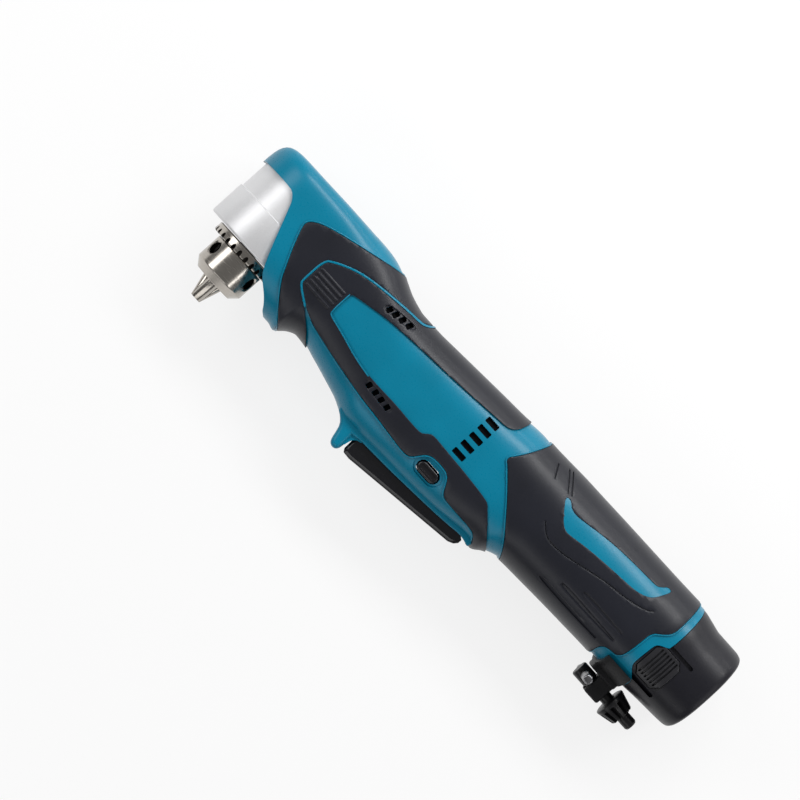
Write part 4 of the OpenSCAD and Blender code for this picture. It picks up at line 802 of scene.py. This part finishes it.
for (x0, y0), (x1, _) in grips["slits"]:
    wide, span = grips["slitWide"] / 2, x1 - x0
    slit = [(x0 + f * span, y0 - w * wide) for f, w in grips["slitTaper"]]
    slit += [(x0 + f * span, y0 + w * wide) for f, w in reversed(grips["slitTaper"])]
    carve(rearGrip, slit)
cutWith(rearGrip, outlinePrism("inlayCut", softOutline(grips["inlay"]), grips["cutLow"], farOut))
inlayForm = handleForm("inlayForm", grips["inlayProud"])
gripInlay = skinPiece("gripInlayLeft", grips["inlay"], inlayForm)
for skin, node in ((neckGrip, "neck_grip"), (sidePanel, "side_panel"), (rearGrip, "rear_grip")):
    softRim(skin, grips["rim"])
    settlePair(skin, "soft_grip", softGripRubber, node + "_left", node + "_right")
settlePair(gripInlay, "housing_plastic", tealPlastic)
remove(inlayForm)
print("soft grips:", len(neckGrip.data.polygons), len(sidePanel.data.polygons), len(rearGrip.data.polygons))

# painted shade: near-black screens just inside the vents stand in for the shade within the housing, so the
# slots read dark

shadeScreens = {"areas": [[(58, 8), (58, 15), (80, 17.5), (80, 10)],
                     [(77, -22), (77, -14), (100, -14), (100, -22)],
                     [(124, -13), (124, 15), (138, 15), (138, -13)]],
           "low": 1, "outside": -1.55, "inside": -2.15}
shadeScreenForm = handleForm("shadeScreenForm", shadeScreens["outside"])
shadeScreenBed = handleForm("shadeScreenBed", shadeScreens["inside"])
shadeScreenLeft = join(*[outlinePrism("ventScreen", area, shadeScreens["low"], farOut) for area in shadeScreens["areas"]])
shadeScreenLeft.name = "ventScreenLeft"
cutWith(shadeScreenLeft, shadeScreenForm, "INTERSECT")
cutWith(shadeScreenLeft, shadeScreenBed)
settlePair(shadeScreenLeft, "black_plastic", shadeScreenBlack)

# the raised bead between the neck grip and the side panel

bead = {"line": [(37.6, -15.9), (35.4, -14.5), (31, -11.9), (28.6, -10), (28.2, -8.5), (28.2, 4),
                 (31.5, 6.7), (36.2, 9.3), (41, 11.5), (46, 13), (50.8, 14.1), (60.5, 15.7), (70.2, 17),
                 (75, 17.4), (78.6, 17.9), (81.8, 20.4), (83.6, 24), (83.8, 35)],
        "width": 1.0, "windowWidth": 0.7, "proud": 1.15, "rim": 0.3,
        "window": [(46.8, 2.6), (46.8, -8.7), (48, -9.9), (55.8, -11.3), (65.5, -13.6), (72.5, -14.9),
                   (79, -15.6)]}
beadForm = handleForm("beadForm", bead["proud"])
beadStrip = stripOutline(softOutline(bead["line"], 1, False), bead["width"])
beadLeft = skinPiece("borderBeadLeft", beadStrip, beadForm)
windowStrip = stripOutline(softOutline(bead["window"], 1, False), bead["windowWidth"])
join(beadLeft, skinPiece("windowBead", windowStrip, beadForm))
softRim(beadLeft, bead["rim"])
settlePair(beadLeft, "housing_plastic", tealPlastic)
remove(beadForm)

# thin lips of the housing that frame the soft grips, with a fine gap between
lips = {"runs": [("neck", (60, 31), (36, -38)), ("side", (165.2, -38), (43, -17.6)),
                 ("rear", (156.5, 31), (179.5, -38)),
                 ("rear", (236.2, -33), (253.5, 31))],
        "gap": 0.22, "width": 0.6, "proud": 0.7, "rim": 0.2, "near": 0.08}
lipForm = handleForm("lipForm", lips["proud"])
lipParts = []
for grip, start, end in lips["runs"]:
    line = borderRun(grips[grip], start, end, lips["gap"] + lips["width"] / 2)
    lipParts.append(skinPiece("gripLip", stripOutline(line, lips["width"]), lipForm, 0))
lipLeft = join(*lipParts)
lipLeft.name = "gripLipLeft"
cutWith(lipLeft, coverCutter())
softRim(lipLeft, lips["rim"], lips["near"])
settlePair(lipLeft, "housing_plastic", tealPlastic)
remove(lipForm)
print("bead and lips laid:", len(beadLeft.data.polygons), len(lipLeft.data.polygons))


# gear head: cast case, then the chuck about the spindle axis

head = {
    "profile": [(0, 25.4), (18, 25.4), (20.4, 24.9), (22.2, 23.6), (23.1, 21.8), (23.4, 19.4),
                (23.4, 0.4), (23.44, 0.2), (24.16, -0.2), (24.2, -0.4), (24.2, -16.4), (24.05, -17.1),
                (23.6, -17.6), (20.4, -17.6), (19.8, -17.2), (19.8, 20), (0, 20)],
    "neckR": 17.5, "neckStart": 12, "neckEnd": 38, "neckBore": 11.1,
    "headBore": {"r": 19.8, "l": 37.4, "y": 1.3}, "carrierBore": {"r": 15.6, "l": 20, "x": 45.6},
}
gearCase = spun("gearCase", head["profile"], steps=128)
neckL = head["neckEnd"] - head["neckStart"]
neckTube = rod("neckTube", head["neckR"], neckL, (head["neckStart"] + neckL / 2, 0, 0), "X", 96)
cutWith(gearCase, neckTube, "UNION")
bore = head["headBore"]
cutWith(gearCase, rod("headBore", bore["r"], bore["l"], (0, bore["y"], 0), "Y", 96))
cutWith(gearCase, rod("neckBore", head["neckBore"], farOut, (farOut / 2, 0, 0), "X", 64))
bore = head["carrierBore"]
cutWith(gearCase, rod("carrierBore", bore["r"], bore["l"], (bore["x"], 0, 0), "X", 64))
tidyMesh(gearCase)
settle(gearCase, "housing", "head_alloy", headAlloy, "gear_case", angle=40)

chuck = {
    "body": [(4.81, -18), (16.6, -18), (17.2, -18.2), (17.4, -18.5), (17.4, -18.7), (17.4, -21.6),
             (17.4, -21.8), (17.25, -22.25), (16.8, -22.6), (16.5, -22.6), (11.5, -22.6), (11.4, -24.8),
             (9.6, -24.8), (9.6, -31.2), (6.2, -31.2), (6.2, -35.9), (8.8, -35.9), (8.8, -39.0),
             (8.5, -39.4), (3.6, -39.4), (3.2, -39.0), (3.2, -23.4), (4.81, -23.4)],
    "sleeve": [(11.6, -22.9), (13.0, -22.9), (13.2, -22.9), (13.42, -23.0), (13.5, -23.2),
               (13.5, -23.4), (13.5, -35.0), (13.5, -35.25), (13.43, -35.5), (13.25, -35.75),
               (13.1, -35.9), (10.45, -38.9), (10.3, -39.05), (10.15, -39.25), (9.9, -39.4),
               (9.7, -39.4), (9.0, -39.4), (9.0, -35.9), (10.5, -35.9), (10.5, -31.6), (11.6, -22.95)],
    "keyHole": [(0, 8), (3.2, 8), (3.2, 12.75), (3.45, 13), (3.95, 13.45), (4.8, 14.4), (0, 14.4)],
    "teeth": 27, "ringBottom": -22.6, "keyY": -28, "keyAzimuths": (51, 171, 291),
    "jawAzimuths": (111, 231, 351), "jawTip": -50, "jawTop": -31.98, "jawR": 3, "jawSlant": 18,
    "jawOffset": -0.5, "jawRun": 3, "jawRound": 0.22, "jawRoom": 0.06, "jawBore": (-60, -10),
    "wedge": {"side": 60, "gap": 0.12, "height": 40}, "notchReach": (13.9, 30),
    "shadeZone": {"inside": 0.0127, "above": -0.0335, "ring": 0.0168, "ringBottom": -0.0226, "flat": 0.9},
    "notch": [(-1.3, -2.5), (1.3, -2.5), (1.0, 0.5), (0.92, 1.5), (0.6, 2.3), (0, 2.6), (-0.6, 2.3),
              (-0.92, 1.5), (-1.0, 0.5)],
}


def turn(piece, axis, degrees):
    # the operator turns left handed, so the sign is changed here
    openEdit(piece)
    bpy.ops.transform.rotate(value=-math.radians(degrees), orient_axis=axis, center_override=(0, 0, 0))
    closeEdit()
    return piece


def moveBy(piece, step):
    openEdit(piece)
    bpy.ops.transform.translate(value=step)
    closeEdit()
    return piece


def ringOf(first, axis, count):
    # one cutter and its turned copies, evenly spaced about an axis
    copies = [turn(copyOf(first, first.name), axis, 360 * i / count) for i in range(1, count)]
    return join(first, *copies)


def jawRod(name, azimuth, radius, low, high):
    # a rod along a jaw's slanted axis, between two heights
    a, slant = math.radians(azimuth), math.radians(chuck["jawSlant"])
    out = Vector((-math.sin(a), 0, math.cos(a)))
    along = out * math.sin(slant) + Vector((0, math.cos(slant), 0))
    start = out * chuck["jawOffset"] + Vector((0, chuck["jawTip"], 0))
    p, q = (start + along * ((y - chuck["jawTip"]) / math.cos(slant)) for y in (low, high))
    clearAll()
    bpy.ops.mesh.primitive_cylinder_add(vertices=64, radius=radius, depth=(q - p).length,
                                        location=(p + q) / 2,
                                        rotation=along.to_track_quat("Z", "Y").to_euler())
    piece = named(name)
    bpy.ops.object.transform_apply(location=True, rotation=True, scale=True)
    return piece


def paintChuckShade(piece):
    # painted shade: faces deep inside the chuck, in metres from its axis, and the upright faces within the
    # toothed ring under the gear case get a dull, dark steel
    shadeZone = chuck["shadeZone"]
    piece.data.materials.append(shadeInnerSteel)

    def deep(centre, normal):
        x, y, z = (c - toolPlace[k] for c, k in zip(centre, "xyz"))
        away = math.hypot(x, z)
        upright = abs(normal[1]) < shadeZone["flat"]
        return (away < shadeZone["inside"] and y > shadeZone["above"]
                or away < shadeZone["ring"] and y > shadeZone["ringBottom"] and upright)

    pickWhere(piece, deep)
    piece.active_material_index = 1
    bpy.ops.object.material_slot_assign()
    closeEdit()


chuckBody = spun("chuckBody", chuck["body"], steps=108)
notchOutline = [(x, y + chuck["ringBottom"]) for x, y in chuck["notch"]]
firstNotch = outlinePrism("toothNotch", notchOutline, *chuck["notchReach"])
cutWith(chuckBody, ringOf(firstNotch, "Y", chuck["teeth"]))
for azimuth in chuck["jawAzimuths"]:
    cutWith(chuckBody, jawRod("jawBore", azimuth, chuck["jawR"] + chuck["jawRoom"], *chuck["jawBore"]))
tidyMesh(chuckBody)
settle(chuckBody, "spindle", "chuck_steel", chuckSteel, "chuck_body", angle=30)
paintChuckShade(chuckBody)

chuckSleeve = spun("chuckSleeve", chuck["sleeve"], steps=128)
for azimuth in chuck["keyAzimuths"]:
    hole = spun("keyHole", chuck["keyHole"], steps=48)
    turn(hole, "X", 90)
    turn(moveBy(hole, (0, chuck["keyY"], 0)), "Y", -azimuth)
    cutWith(chuckSleeve, hole)
tidyMesh(chuckSleeve)
settle(chuckSleeve, "sleeve", "chuck_steel", chuckSteel, "chuck_sleeve", angle=30)
paintChuckShade(chuckSleeve)

third = chuck["wedge"]
wide, deep = third["side"] * math.sin(math.pi / 3), third["side"] / 2 + third["gap"]
for i, azimuth in enumerate(chuck["jawAzimuths"]):
    jawStart = chuck["jawTip"] - chuck["jawRun"]
    jaw = jawRod("chuckJaw%d" % (i + 1), azimuth, chuck["jawR"], jawStart, chuck["jawTop"])
    wedgeOutline = [(0, third["gap"]), (wide, deep), (-wide, deep)]
    wedge = outlinePrism("jawWedge", wedgeOutline, 0, third["height"])
    turn(wedge, "X", 90)
    turn(moveBy(wedge, (0, chuck["jawTip"] + third["height"], 0)), "Y", -azimuth)
    cutWith(jaw, wedge, "INTERSECT")
    tidyMesh(jaw)
    bevelEdges(jaw, chuck["jawRound"], segments=2, angle=40)
    settle(jaw, "jaw_%d" % (i + 1), "chuck_steel", chuckSteel, "jaw_%d" % (i + 1))
print("gear head and chuck:", len(chuckBody.data.polygons), len(chuckSleeve.data.polygons))


# paddle trigger, reverse button and lamp

controls = {
    "lever": [(95, -41), (95.2, -45), (96.3, -46.6), (100, -46.8), (157, -38.7), (159.5, -37.5),
              (161, -35.5), (159, -32.5), (158.5, -29), (156, -25.75), (153, -26.5), (151, -29.6),
              (149.5, -32.2), (140, -33.5), (125, -34.75), (118.5, -35.3), (107, -35.3), (98.75, -36.3),
              (95.6, -36.7), (94.8, -37.6)],
    "leverHalf": 9, "leverCore": 8.1, "leverEdge": 0.35, "flat": 0.9, "skin": 0.01, "drawIn": 1.9,
    "frontX": 98, "frontShare": 0.8, "lowX": 100, "lowY": -43.5, "lowSlope": 0.142,
    "pivot": (155, -29), "holeR": 1.8, "holeL": 40, "pinR": 1.75, "pinHalf": 11.6, "pinEdge": 0.4,
    "reverse": (12, 5.8), "reverseHalf": 20.4, "reverseRound": 1.3,
    "dish": (8.4, 2.3), "dishDeep": 0.45, "dishFar": 40, "dishEdge": 0.15,
    "arm": ((117.8, -25.3, -1.5), (127.75, -23.3, 1.5)),
    "lensAt": (29, -31.35, 0), "lensR": 2.8, "lensL": 3.3, "lensRound": 0.7,
    "board": ((27, -29.6, -5.5), (34, -28.4, 5.5)), "boardEdge": 0.2,
    "chip": ((29.5, -28.6, -2), (32.5, -27.8, 2)),
}


def isLow(place):
    return place[1] < controls["lowY"] + controls["lowSlope"] * (place[0] - controls["lowX"])


def isFront(place):
    return place[0] < controls["frontX"]


outerFlank = controls["leverHalf"] - controls["skin"]
triggerLever = outlinePrism("triggerLever", controls["lever"], -controls["leverCore"], controls["leverCore"])
for side in (1, -1):
    # each flank is pulled out, and its lower and front edges are drawn in
    pickWhere(triggerLever, lambda centre, normal: normal[2] * side > controls["flat"])
    bpy.ops.mesh.extrude_region_move(
        TRANSFORM_OT_translate={"value": (0, 0, side * (controls["leverHalf"] - controls["leverCore"]))})
    closeEdit()
    for test, step in ((isLow, (0, controls["drawIn"], 0)),
                       (isFront, (controls["drawIn"] * controls["frontShare"], 0, 0))):
        pickWhere(triggerLever, lambda c: c[2] * side > outerFlank and test(c), "VERT")
        bpy.ops.transform.translate(value=step)
        closeEdit()
bevelEdges(triggerLever, controls["leverEdge"], segments=3, angle=20)
cutWith(triggerLever, rod("pinHole", controls["holeR"], controls["holeL"], (*controls["pivot"], 0), "Z", 32))
settle(triggerLever, "trigger", "gloss_black", glossBlack, "trigger_lever")
triggerPin = rod("triggerPin", controls["pinR"], 2 * controls["pinHalf"], (*controls["pivot"], 0), "Z", 48)
bevelEdges(triggerPin, controls["pinEdge"], segments=2, angle=50)
settle(triggerPin, "housing", "gear_steel", gearSteel, "trigger_pin")

buttonSlot = roundSlot(housing["reverseAt"], *controls["reverse"], steps=14)
dishSlot = roundSlot(housing["reverseAt"], *controls["dish"], steps=10)
dishFloor = controls["reverseHalf"] - controls["dishDeep"]
reverseButton = outlinePrism("reverseButton", buttonSlot, -controls["reverseHalf"], controls["reverseHalf"])
bevelEdges(reverseButton, controls["reverseRound"], segments=5, angle=50)
for side in (-1, 1):
    low, high = sorted((side * dishFloor, side * controls["dishFar"]))
    cutWith(reverseButton, outlinePrism("thumbDish", dishSlot, low, high))
bevelEdges(reverseButton, controls["dishEdge"], segments=2, angle=50)
cutWith(reverseButton, box("reverseArm", *controls["arm"]), "UNION")
settle(reverseButton, "reverse", "gloss_black", glossBlack, "reverse_button")

lampLens = rod("lampLens", controls["lensR"], controls["lensL"], controls["lensAt"], "Y", 48)
bevelEdges(lampLens, controls["lensRound"], segments=4, angle=50)
settle(lampLens, "housing", "lamp_clear", lampClear, "lamp_lens")

lampBoard = box("lampBoard", *controls["board"])
bevelEdges(lampBoard, controls["boardEdge"], segments=2)
cutWith(lampBoard, box("lampChip", *controls["chip"]), "UNION")
settle(lampBoard, "housing", "board_green", boardGreen, "lamp_board")
print("controls set")


# battery: shell with side slots, release buttons with finger ribs

battery = {
    "start": 257, "length": 28, "half": 25, "square": 2.5, "belly": 2.6, "shell": 2, "web": 262,
    "joint": 0.3, "parts": 5, "span": (200, 330), "slotLow": 1,
    "rows": [(-0.25, 1.052, 0.96, 0.984), (0.04, 1.05, 0.952, 0.984), (0.25, 1.012, 0.932, 0.968),
             (0.46, 0.972, 0.916, 0.956), (0.86, 0.968, 0.888, 0.942), (0.95, 0.948, 0.868, 0.922),
             (0.985, 0.91, 0.83, 0.885), (1, 0.85, 0.77, 0.825)],
    "button": {"at": (259.4, -6.7), "l": 14.6, "h": 17.2, "corner": 3, "proud": 0.75, "low": 18.5,
               "room": 0.3, "windowLow": 15.3, "edge": 0.5, "grooves": (-4.6, -2.8, -1, 0.8, 2.6, 4.4),
               "grooveW": 0.9, "grooveEnds": 2.6, "grooveLow": 19, "grooveFloor": -0.5, "grooveEdge": 0.15,
               "near": 0.03},
    "slots": [((263, 3.6), 15, 1.9), ((260.5, -17.4), 15, 1.9)], "slotDepth": 1.6,
}
button = battery["button"]


def batteryForm(name, grow):
    rings = []
    for share, top, bottom, width in smoothRows(battery["rows"], battery["parts"]):
        rings.append(sectionRing(battery["start"] + battery["length"] * share, top * battery["half"] + grow,
                                 bottom * battery["half"] + grow, width * battery["half"] + grow,
                                 battery["square"], battery["belly"], handle["around"]))
    return loftPiece(name, rings)


def buttonOutline(grow):
    l, h, c = button["l"] / 2 + grow, button["h"] / 2 + grow, button["corner"]
    corners = [(-l, -h + c), (-l + c, -h), (l - c, -h), (l, -h + c),
               (l, h - c), (l - c, h), (-l + c, h), (-l, h - c)]
    return [(button["at"][0] + x, button["at"][1] + y) for x, y in corners]


collarPrism = [(x + battery["joint"], y) for x, y in softOutline(housing["collarEdge"], 2)]
batteryShell = batteryForm("batteryShell", 0)
slotFloor = batteryForm("slotFloor", -battery["slotDepth"])
for place, length, height in battery["slots"]:
    cutter = outlinePrism("shellSlot", roundSlot(place, length, height), battery["slotLow"], farOut)
    cutWith(cutter, slotFloor, keep=True)
    other = mirrored(cutter, "shellSlotRight")
    cutWith(batteryShell, cutter)
    cutWith(batteryShell, other)
remove(slotFloor)
cutWith(batteryShell, outlinePrism("collarTrim", collarPrism, -farOut, farOut), "INTERSECT")
inside = batteryForm("shellInside", -battery["shell"])
spanStart, spanEnd = battery["span"]
endWall = battery["start"] + battery["length"] - battery["shell"]
cutWith(inside, box("insideTrim", (spanStart, -farOut, -farOut), (battery["web"], farOut, farOut)))
cutWith(inside, box("insideEnd", (endWall, -farOut, -farOut), (spanEnd, farOut, farOut)))
cutWith(batteryShell, inside)
for side in (1, -1):
    low, high = sorted((side * button["windowLow"], side * farOut))
    cutWith(batteryShell, outlinePrism("buttonWindow", buttonOutline(button["room"]), low, high))
tidyMesh(batteryShell)
settle(batteryShell, "battery", "battery_plastic", batteryPlastic, "battery_shell")

releaseLeft = batteryForm("releaseButtonLeft", button["proud"])
cutWith(releaseLeft, outlinePrism("buttonTrim", buttonOutline(0), button["low"], farOut), "INTERSECT")
cutWith(releaseLeft, outlinePrism("buttonCollar", collarPrism, -farOut, farOut), "INTERSECT")
tidyMesh(releaseLeft)
bevelEdges(releaseLeft, button["edge"], segments=3, angle=50)
grooveBed = batteryForm("grooveBed", button["grooveFloor"])
cuts = []
for step in button["grooves"]:
    middle = (button["at"][0] + step, button["at"][1])
    cut = roundSlot(middle, button["h"] - button["grooveEnds"], button["grooveW"], 90)
    cuts.append(outlinePrism("fingerGroove", cut, button["grooveLow"], farOut))
fingerGrooves = join(*cuts)
cutWith(fingerGrooves, grooveBed)
cutWith(releaseLeft, fingerGrooves)
tidyMesh(releaseLeft, button["near"])
bevelEdges(releaseLeft, button["grooveEdge"], segments=2, angle=50)
releaseRight = mirrored(releaseLeft, "releaseButtonRight")
settle(releaseLeft, "release_left", "black_plastic", buttonBlack, "release_button_left")
settle(releaseRight, "release_right", "black_plastic", buttonBlack, "release_button_right")
print("battery:", len(batteryShell.data.polygons), len(releaseLeft.data.polygons))


# chuck key in its rubber holder under the collar

key = {
    "y": -33, "saddle": ((241.25, -60, -40), (256, -19, 40)), "saddleT": 2, "bedGap": 0.1, "rim": 0.35,
    "clip": ((247.5, -38, -6), (256, -19, 6)), "block": ((241.6, -28.5, -8.5), (256, -19, 8.5)),
    "blockEdge": 1.1, "boreR": 3.1, "boreX": 250, "slotHalf": 2.9, "slotX": (230, 270), "slotLow": -80,
    "profile": [(0, 239.25), (3.5, 239.25), (4, 239.75), (4, 246.75), (3.5, 247.25), (3, 247.35),
                (3, 258.9), (3.4, 259.3), (6.9, 259.5), (7.5, 259.8), (7.6, 260.4), (5.7, 267.9),
                (5.2, 268.5), (3.3, 268.5), (3.1, 268.8), (3.1, 273.8), (2.6, 274.6), (2.0, 274.8),
                (0, 274.8)],
    "teeth": 11, "gapReach": (261.7, 269.5), "pilotGuard": {"r": 3.3, "l": 30, "x": 269.5},
    "gap": [(-0.55, 2.9), (0.55, 2.9), (0.8, 4.4), (1.35, 9), (-1.35, 9), (-0.8, 4.4)],
    "bar": {"x": 243.25, "r": 2.2, "half": 20, "room": 0.05, "holeL": 20, "round": 0.8},
}
keyHolder = handleForm("keyHolder", key["saddleT"])
cutWith(keyHolder, box("saddleTrim", *key["saddle"]), "INTERSECT")
for corners in (key["clip"], key["block"]):
    addition = box("holderBlock", *corners)
    bevelEdges(addition, key["blockEdge"])
    cutWith(keyHolder, addition, "UNION")
cutWith(keyHolder, handleForm("holderBed", key["bedGap"]))
cutWith(keyHolder, rod("keyBore", key["boreR"], farOut, (key["boreX"], key["y"], 0), "X", 48))
slotStart, slotEnd = key["slotX"]
keySlot = box("keySlot", (slotStart, key["slotLow"], -key["slotHalf"]), (slotEnd, key["y"], key["slotHalf"]))
cutWith(keyHolder, keySlot)
tidyMesh(keyHolder)
bevelEdges(keyHolder, key["rim"], segments=2, angle=50)
settle(keyHolder, "housing", "black_plastic", holderRubber, "key_holder")

chuckKey = spun("chuckKey", key["profile"], "X", 64)
firstGap = turn(outlinePrism("keyGap", key["gap"], *key["gapReach"]), "Y", 90)
keyGaps = ringOf(firstGap, "X", key["teeth"])
guard, bar = key["pilotGuard"], key["bar"]
cutWith(keyGaps, rod("pilotGuard", guard["r"], guard["l"], (guard["x"], 0, 0), "X", 48))
cutWith(chuckKey, keyGaps)
cutWith(chuckKey, rod("barHole", bar["r"] + bar["room"], bar["holeL"], (bar["x"], 0, 0), "Z", 32))
tidyMesh(chuckKey)
moveBy(chuckKey, (0, key["y"], 0))
settle(chuckKey, "key", "key_steel", keyBlack, "chuck_key", angle=30)
keyBar = rod("keyBar", bar["r"], 2 * bar["half"], (bar["x"], key["y"], 0), "Z", 48)
bevelEdges(keyBar, bar["round"], segments=4, angle=50)
settle(keyBar, "key", "key_steel", barSteel, "key_bar")
remove(bodyForm, gripForm, gripBed, hollowForm, grooveFloor)
print("chuck key and holder set")


# springs: the CAD coils copied, tidied, smoothed and carried with their bodies

springs = [
    {"node": "plunger_spring", "piece": "plungerSpring", "body": "plunger",
     "joint": "plunger_slide", "axis": 1, "movingEnd": 0, "travel": 0.0051},
    {"node": "release_spring_left", "piece": "releaseSpringLeft", "body": "release_left",
     "joint": "release_left_press", "axis": 2, "movingEnd": 1, "travel": 0.002},
    {"node": "release_spring_right", "piece": "releaseSpringRight", "body": "release_right",
     "joint": "release_right_press", "axis": 2, "movingEnd": 0, "travel": 0.002},
]
coilMesh = {"near": 0.000002, "angle": 40}
for spring in springs:
    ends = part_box(spring["node"])
    coil = bpy.data.objects.new(spring["piece"], nodes[spring["node"]].data.copy())
    bpy.context.scene.collection.objects.link(coil)
    tidyMesh(coil, coilMesh["near"])
    shadeSoft(coil, coilMesh["angle"])
    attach(coil, spring["body"])
    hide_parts(spring["node"])
    k = spring["axis"]
    length = ends[1][k] - ends[0][k]
    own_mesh(coil)
print("springs set")


# camera, light and floor

view = {"centre": (-0.0341, -0.00175), "height": 1.0262, "turn": 48, "lens": 99.9, "sensor": 36}
bpy.ops.object.camera_add(location=(*view["centre"], view["height"]),
                          rotation=(0, 0, math.radians(view["turn"])))
camera = bpy.context.object
camera.data.lens = view["lens"]
camera.data.sensor_width = view["sensor"]
bpy.context.scene.camera = camera


def mathNode(tree, links, operation, *values):
    # an output is linked, a number is set
    node = tree.new("ShaderNodeMath")
    node.operation = operation
    for socket, value in zip(node.inputs, values):
        if isinstance(value, bpy.types.NodeSocket):
            links.new(value, socket)
        else:
            socket.default_value = value
    return node.outputs["Value"]


ground = {"size": 60, "z": -0.0002, "colour": (0.86, 0.86, 0.86), "roughness": 0.9, "glow": 0.8}
clearAll()
bpy.ops.mesh.primitive_plane_add(size=ground["size"], location=(0, 0, ground["z"]))
floor = named("studioFloor")
bpy.ops.object.transform_apply(location=True, rotation=True, scale=True)
floorMaterial, tree, links, shader = startMaterial("floorWhite", ground["colour"], ground["roughness"])
glow = tree.new("ShaderNodeEmission")
rays = tree.new("ShaderNodeLightPath").outputs
blend = tree.new("ShaderNodeMixShader")
seen = mathNode(tree, links, "MAXIMUM", rays["Is Camera Ray"], rays["Is Glossy Ray"])
shown = mathNode(tree, links, "MAXIMUM", seen, rays["Is Transmission Ray"])
links.new(mathNode(tree, links, "MULTIPLY", shown, ground["glow"]), blend.inputs["Fac"])
links.new(shader.outputs["BSDF"], blend.inputs[1])
links.new(glow.outputs["Emission"], blend.inputs[2])
links.new(blend.outputs["Shader"], tree["Material Output"].inputs["Surface"])
floor.data.materials.append(floorMaterial)

studio = [  # place, aim, size along and across, watts
    {"name": "keyPanel", "at": (0, 0.62, 0.58), "aim": (0, 0, 0.02),
     "size": (0.9, 0.2), "power": 6},
    {"name": "rimStrip", "at": (0.05, 0.8, 0.2), "aim": (0.02, 0, 0.03),
     "size": (1.0, 0.1), "power": 1.6},
    {"name": "headPanel", "at": (-0.72, 0, 0.62), "aim": (-0.1, 0, 0.02),
     "size": (0.7, 0.35), "power": 2.6},
    {"name": "tailPanel", "at": (0.66, 0.05, 0.5), "aim": (0.12, 0, 0.02),
     "size": (0.5, 0.15), "power": 0.7},
    {"name": "frontPanel", "at": (0.02, -0.62, 0.55), "aim": (0.02, 0, 0.03),
     "size": (0.9, 0.3), "power": 1.4},
]
for lamp in studio:
    clearAll()
    bpy.ops.object.light_add(type="AREA", location=lamp["at"])
    light = bpy.context.object
    light.name = lamp["name"]
    light.data.shape = "RECTANGLE"
    light.data.size, light.data.size_y = lamp["size"]
    light.data.energy = lamp["power"]
    reach = [b - a for a, b in zip(lamp["at"], lamp["aim"])]
    flat = math.hypot(reach[0], reach[1])
    light.rotation_euler = (math.atan2(flat, -reach[2]), 0, math.atan2(reach[1], reach[0]) - math.pi / 2)

backdrop = {"dim": 0.08, "bright": 0.36, "pale": 0.835, "horizon": 0.06}
world = bpy.data.worlds.new("studioWorld")
bpy.context.scene.world = world
world.use_nodes = True
worldTree, worldLinks = world.node_tree.nodes, world.node_tree.links
sky = worldTree["Background"]
sky.inputs["Color"].default_value = (1, 1, 1, 1)
toward = worldTree.new("ShaderNodeTexCoord")
split = worldTree.new("ShaderNodeSeparateXYZ")
level = worldTree.new("ShaderNodeMapRange")
level.inputs["From Min"].default_value = -1
level.inputs["To Min"].default_value = backdrop["dim"]
level.inputs["To Max"].default_value = backdrop["bright"]
worldLinks.new(toward.outputs["Generated"], split.inputs["Vector"])
worldLinks.new(split.outputs["Y"], level.inputs["Value"])

# beyond the floor's edge the sky is as pale as the far floor, also in metal and glass
skyRays = worldTree.new("ShaderNodeLightPath").outputs
lowSky = mathNode(worldTree, worldLinks, "LESS_THAN", split.outputs["Z"], backdrop["horizon"])
lowGloss = mathNode(worldTree, worldLinks, "MULTIPLY", lowSky, skyRays["Is Glossy Ray"])
straight = mathNode(worldTree, worldLinks, "MAXIMUM", skyRays["Is Camera Ray"],
                    skyRays["Is Transmission Ray"])
paleShare = mathNode(worldTree, worldLinks, "MAXIMUM", straight, lowGloss)
skyLevel = worldTree.new("ShaderNodeMix")
skyLevel.inputs["B"].default_value = backdrop["pale"]
worldLinks.new(paleShare, skyLevel.inputs["Factor"])
worldLinks.new(level.outputs["Result"], skyLevel.inputs["A"])
worldLinks.new(skyLevel.outputs["Result"], sky.inputs["Strength"])
bpy.context.scene.view_settings.view_transform = "Standard"
print("studio set")
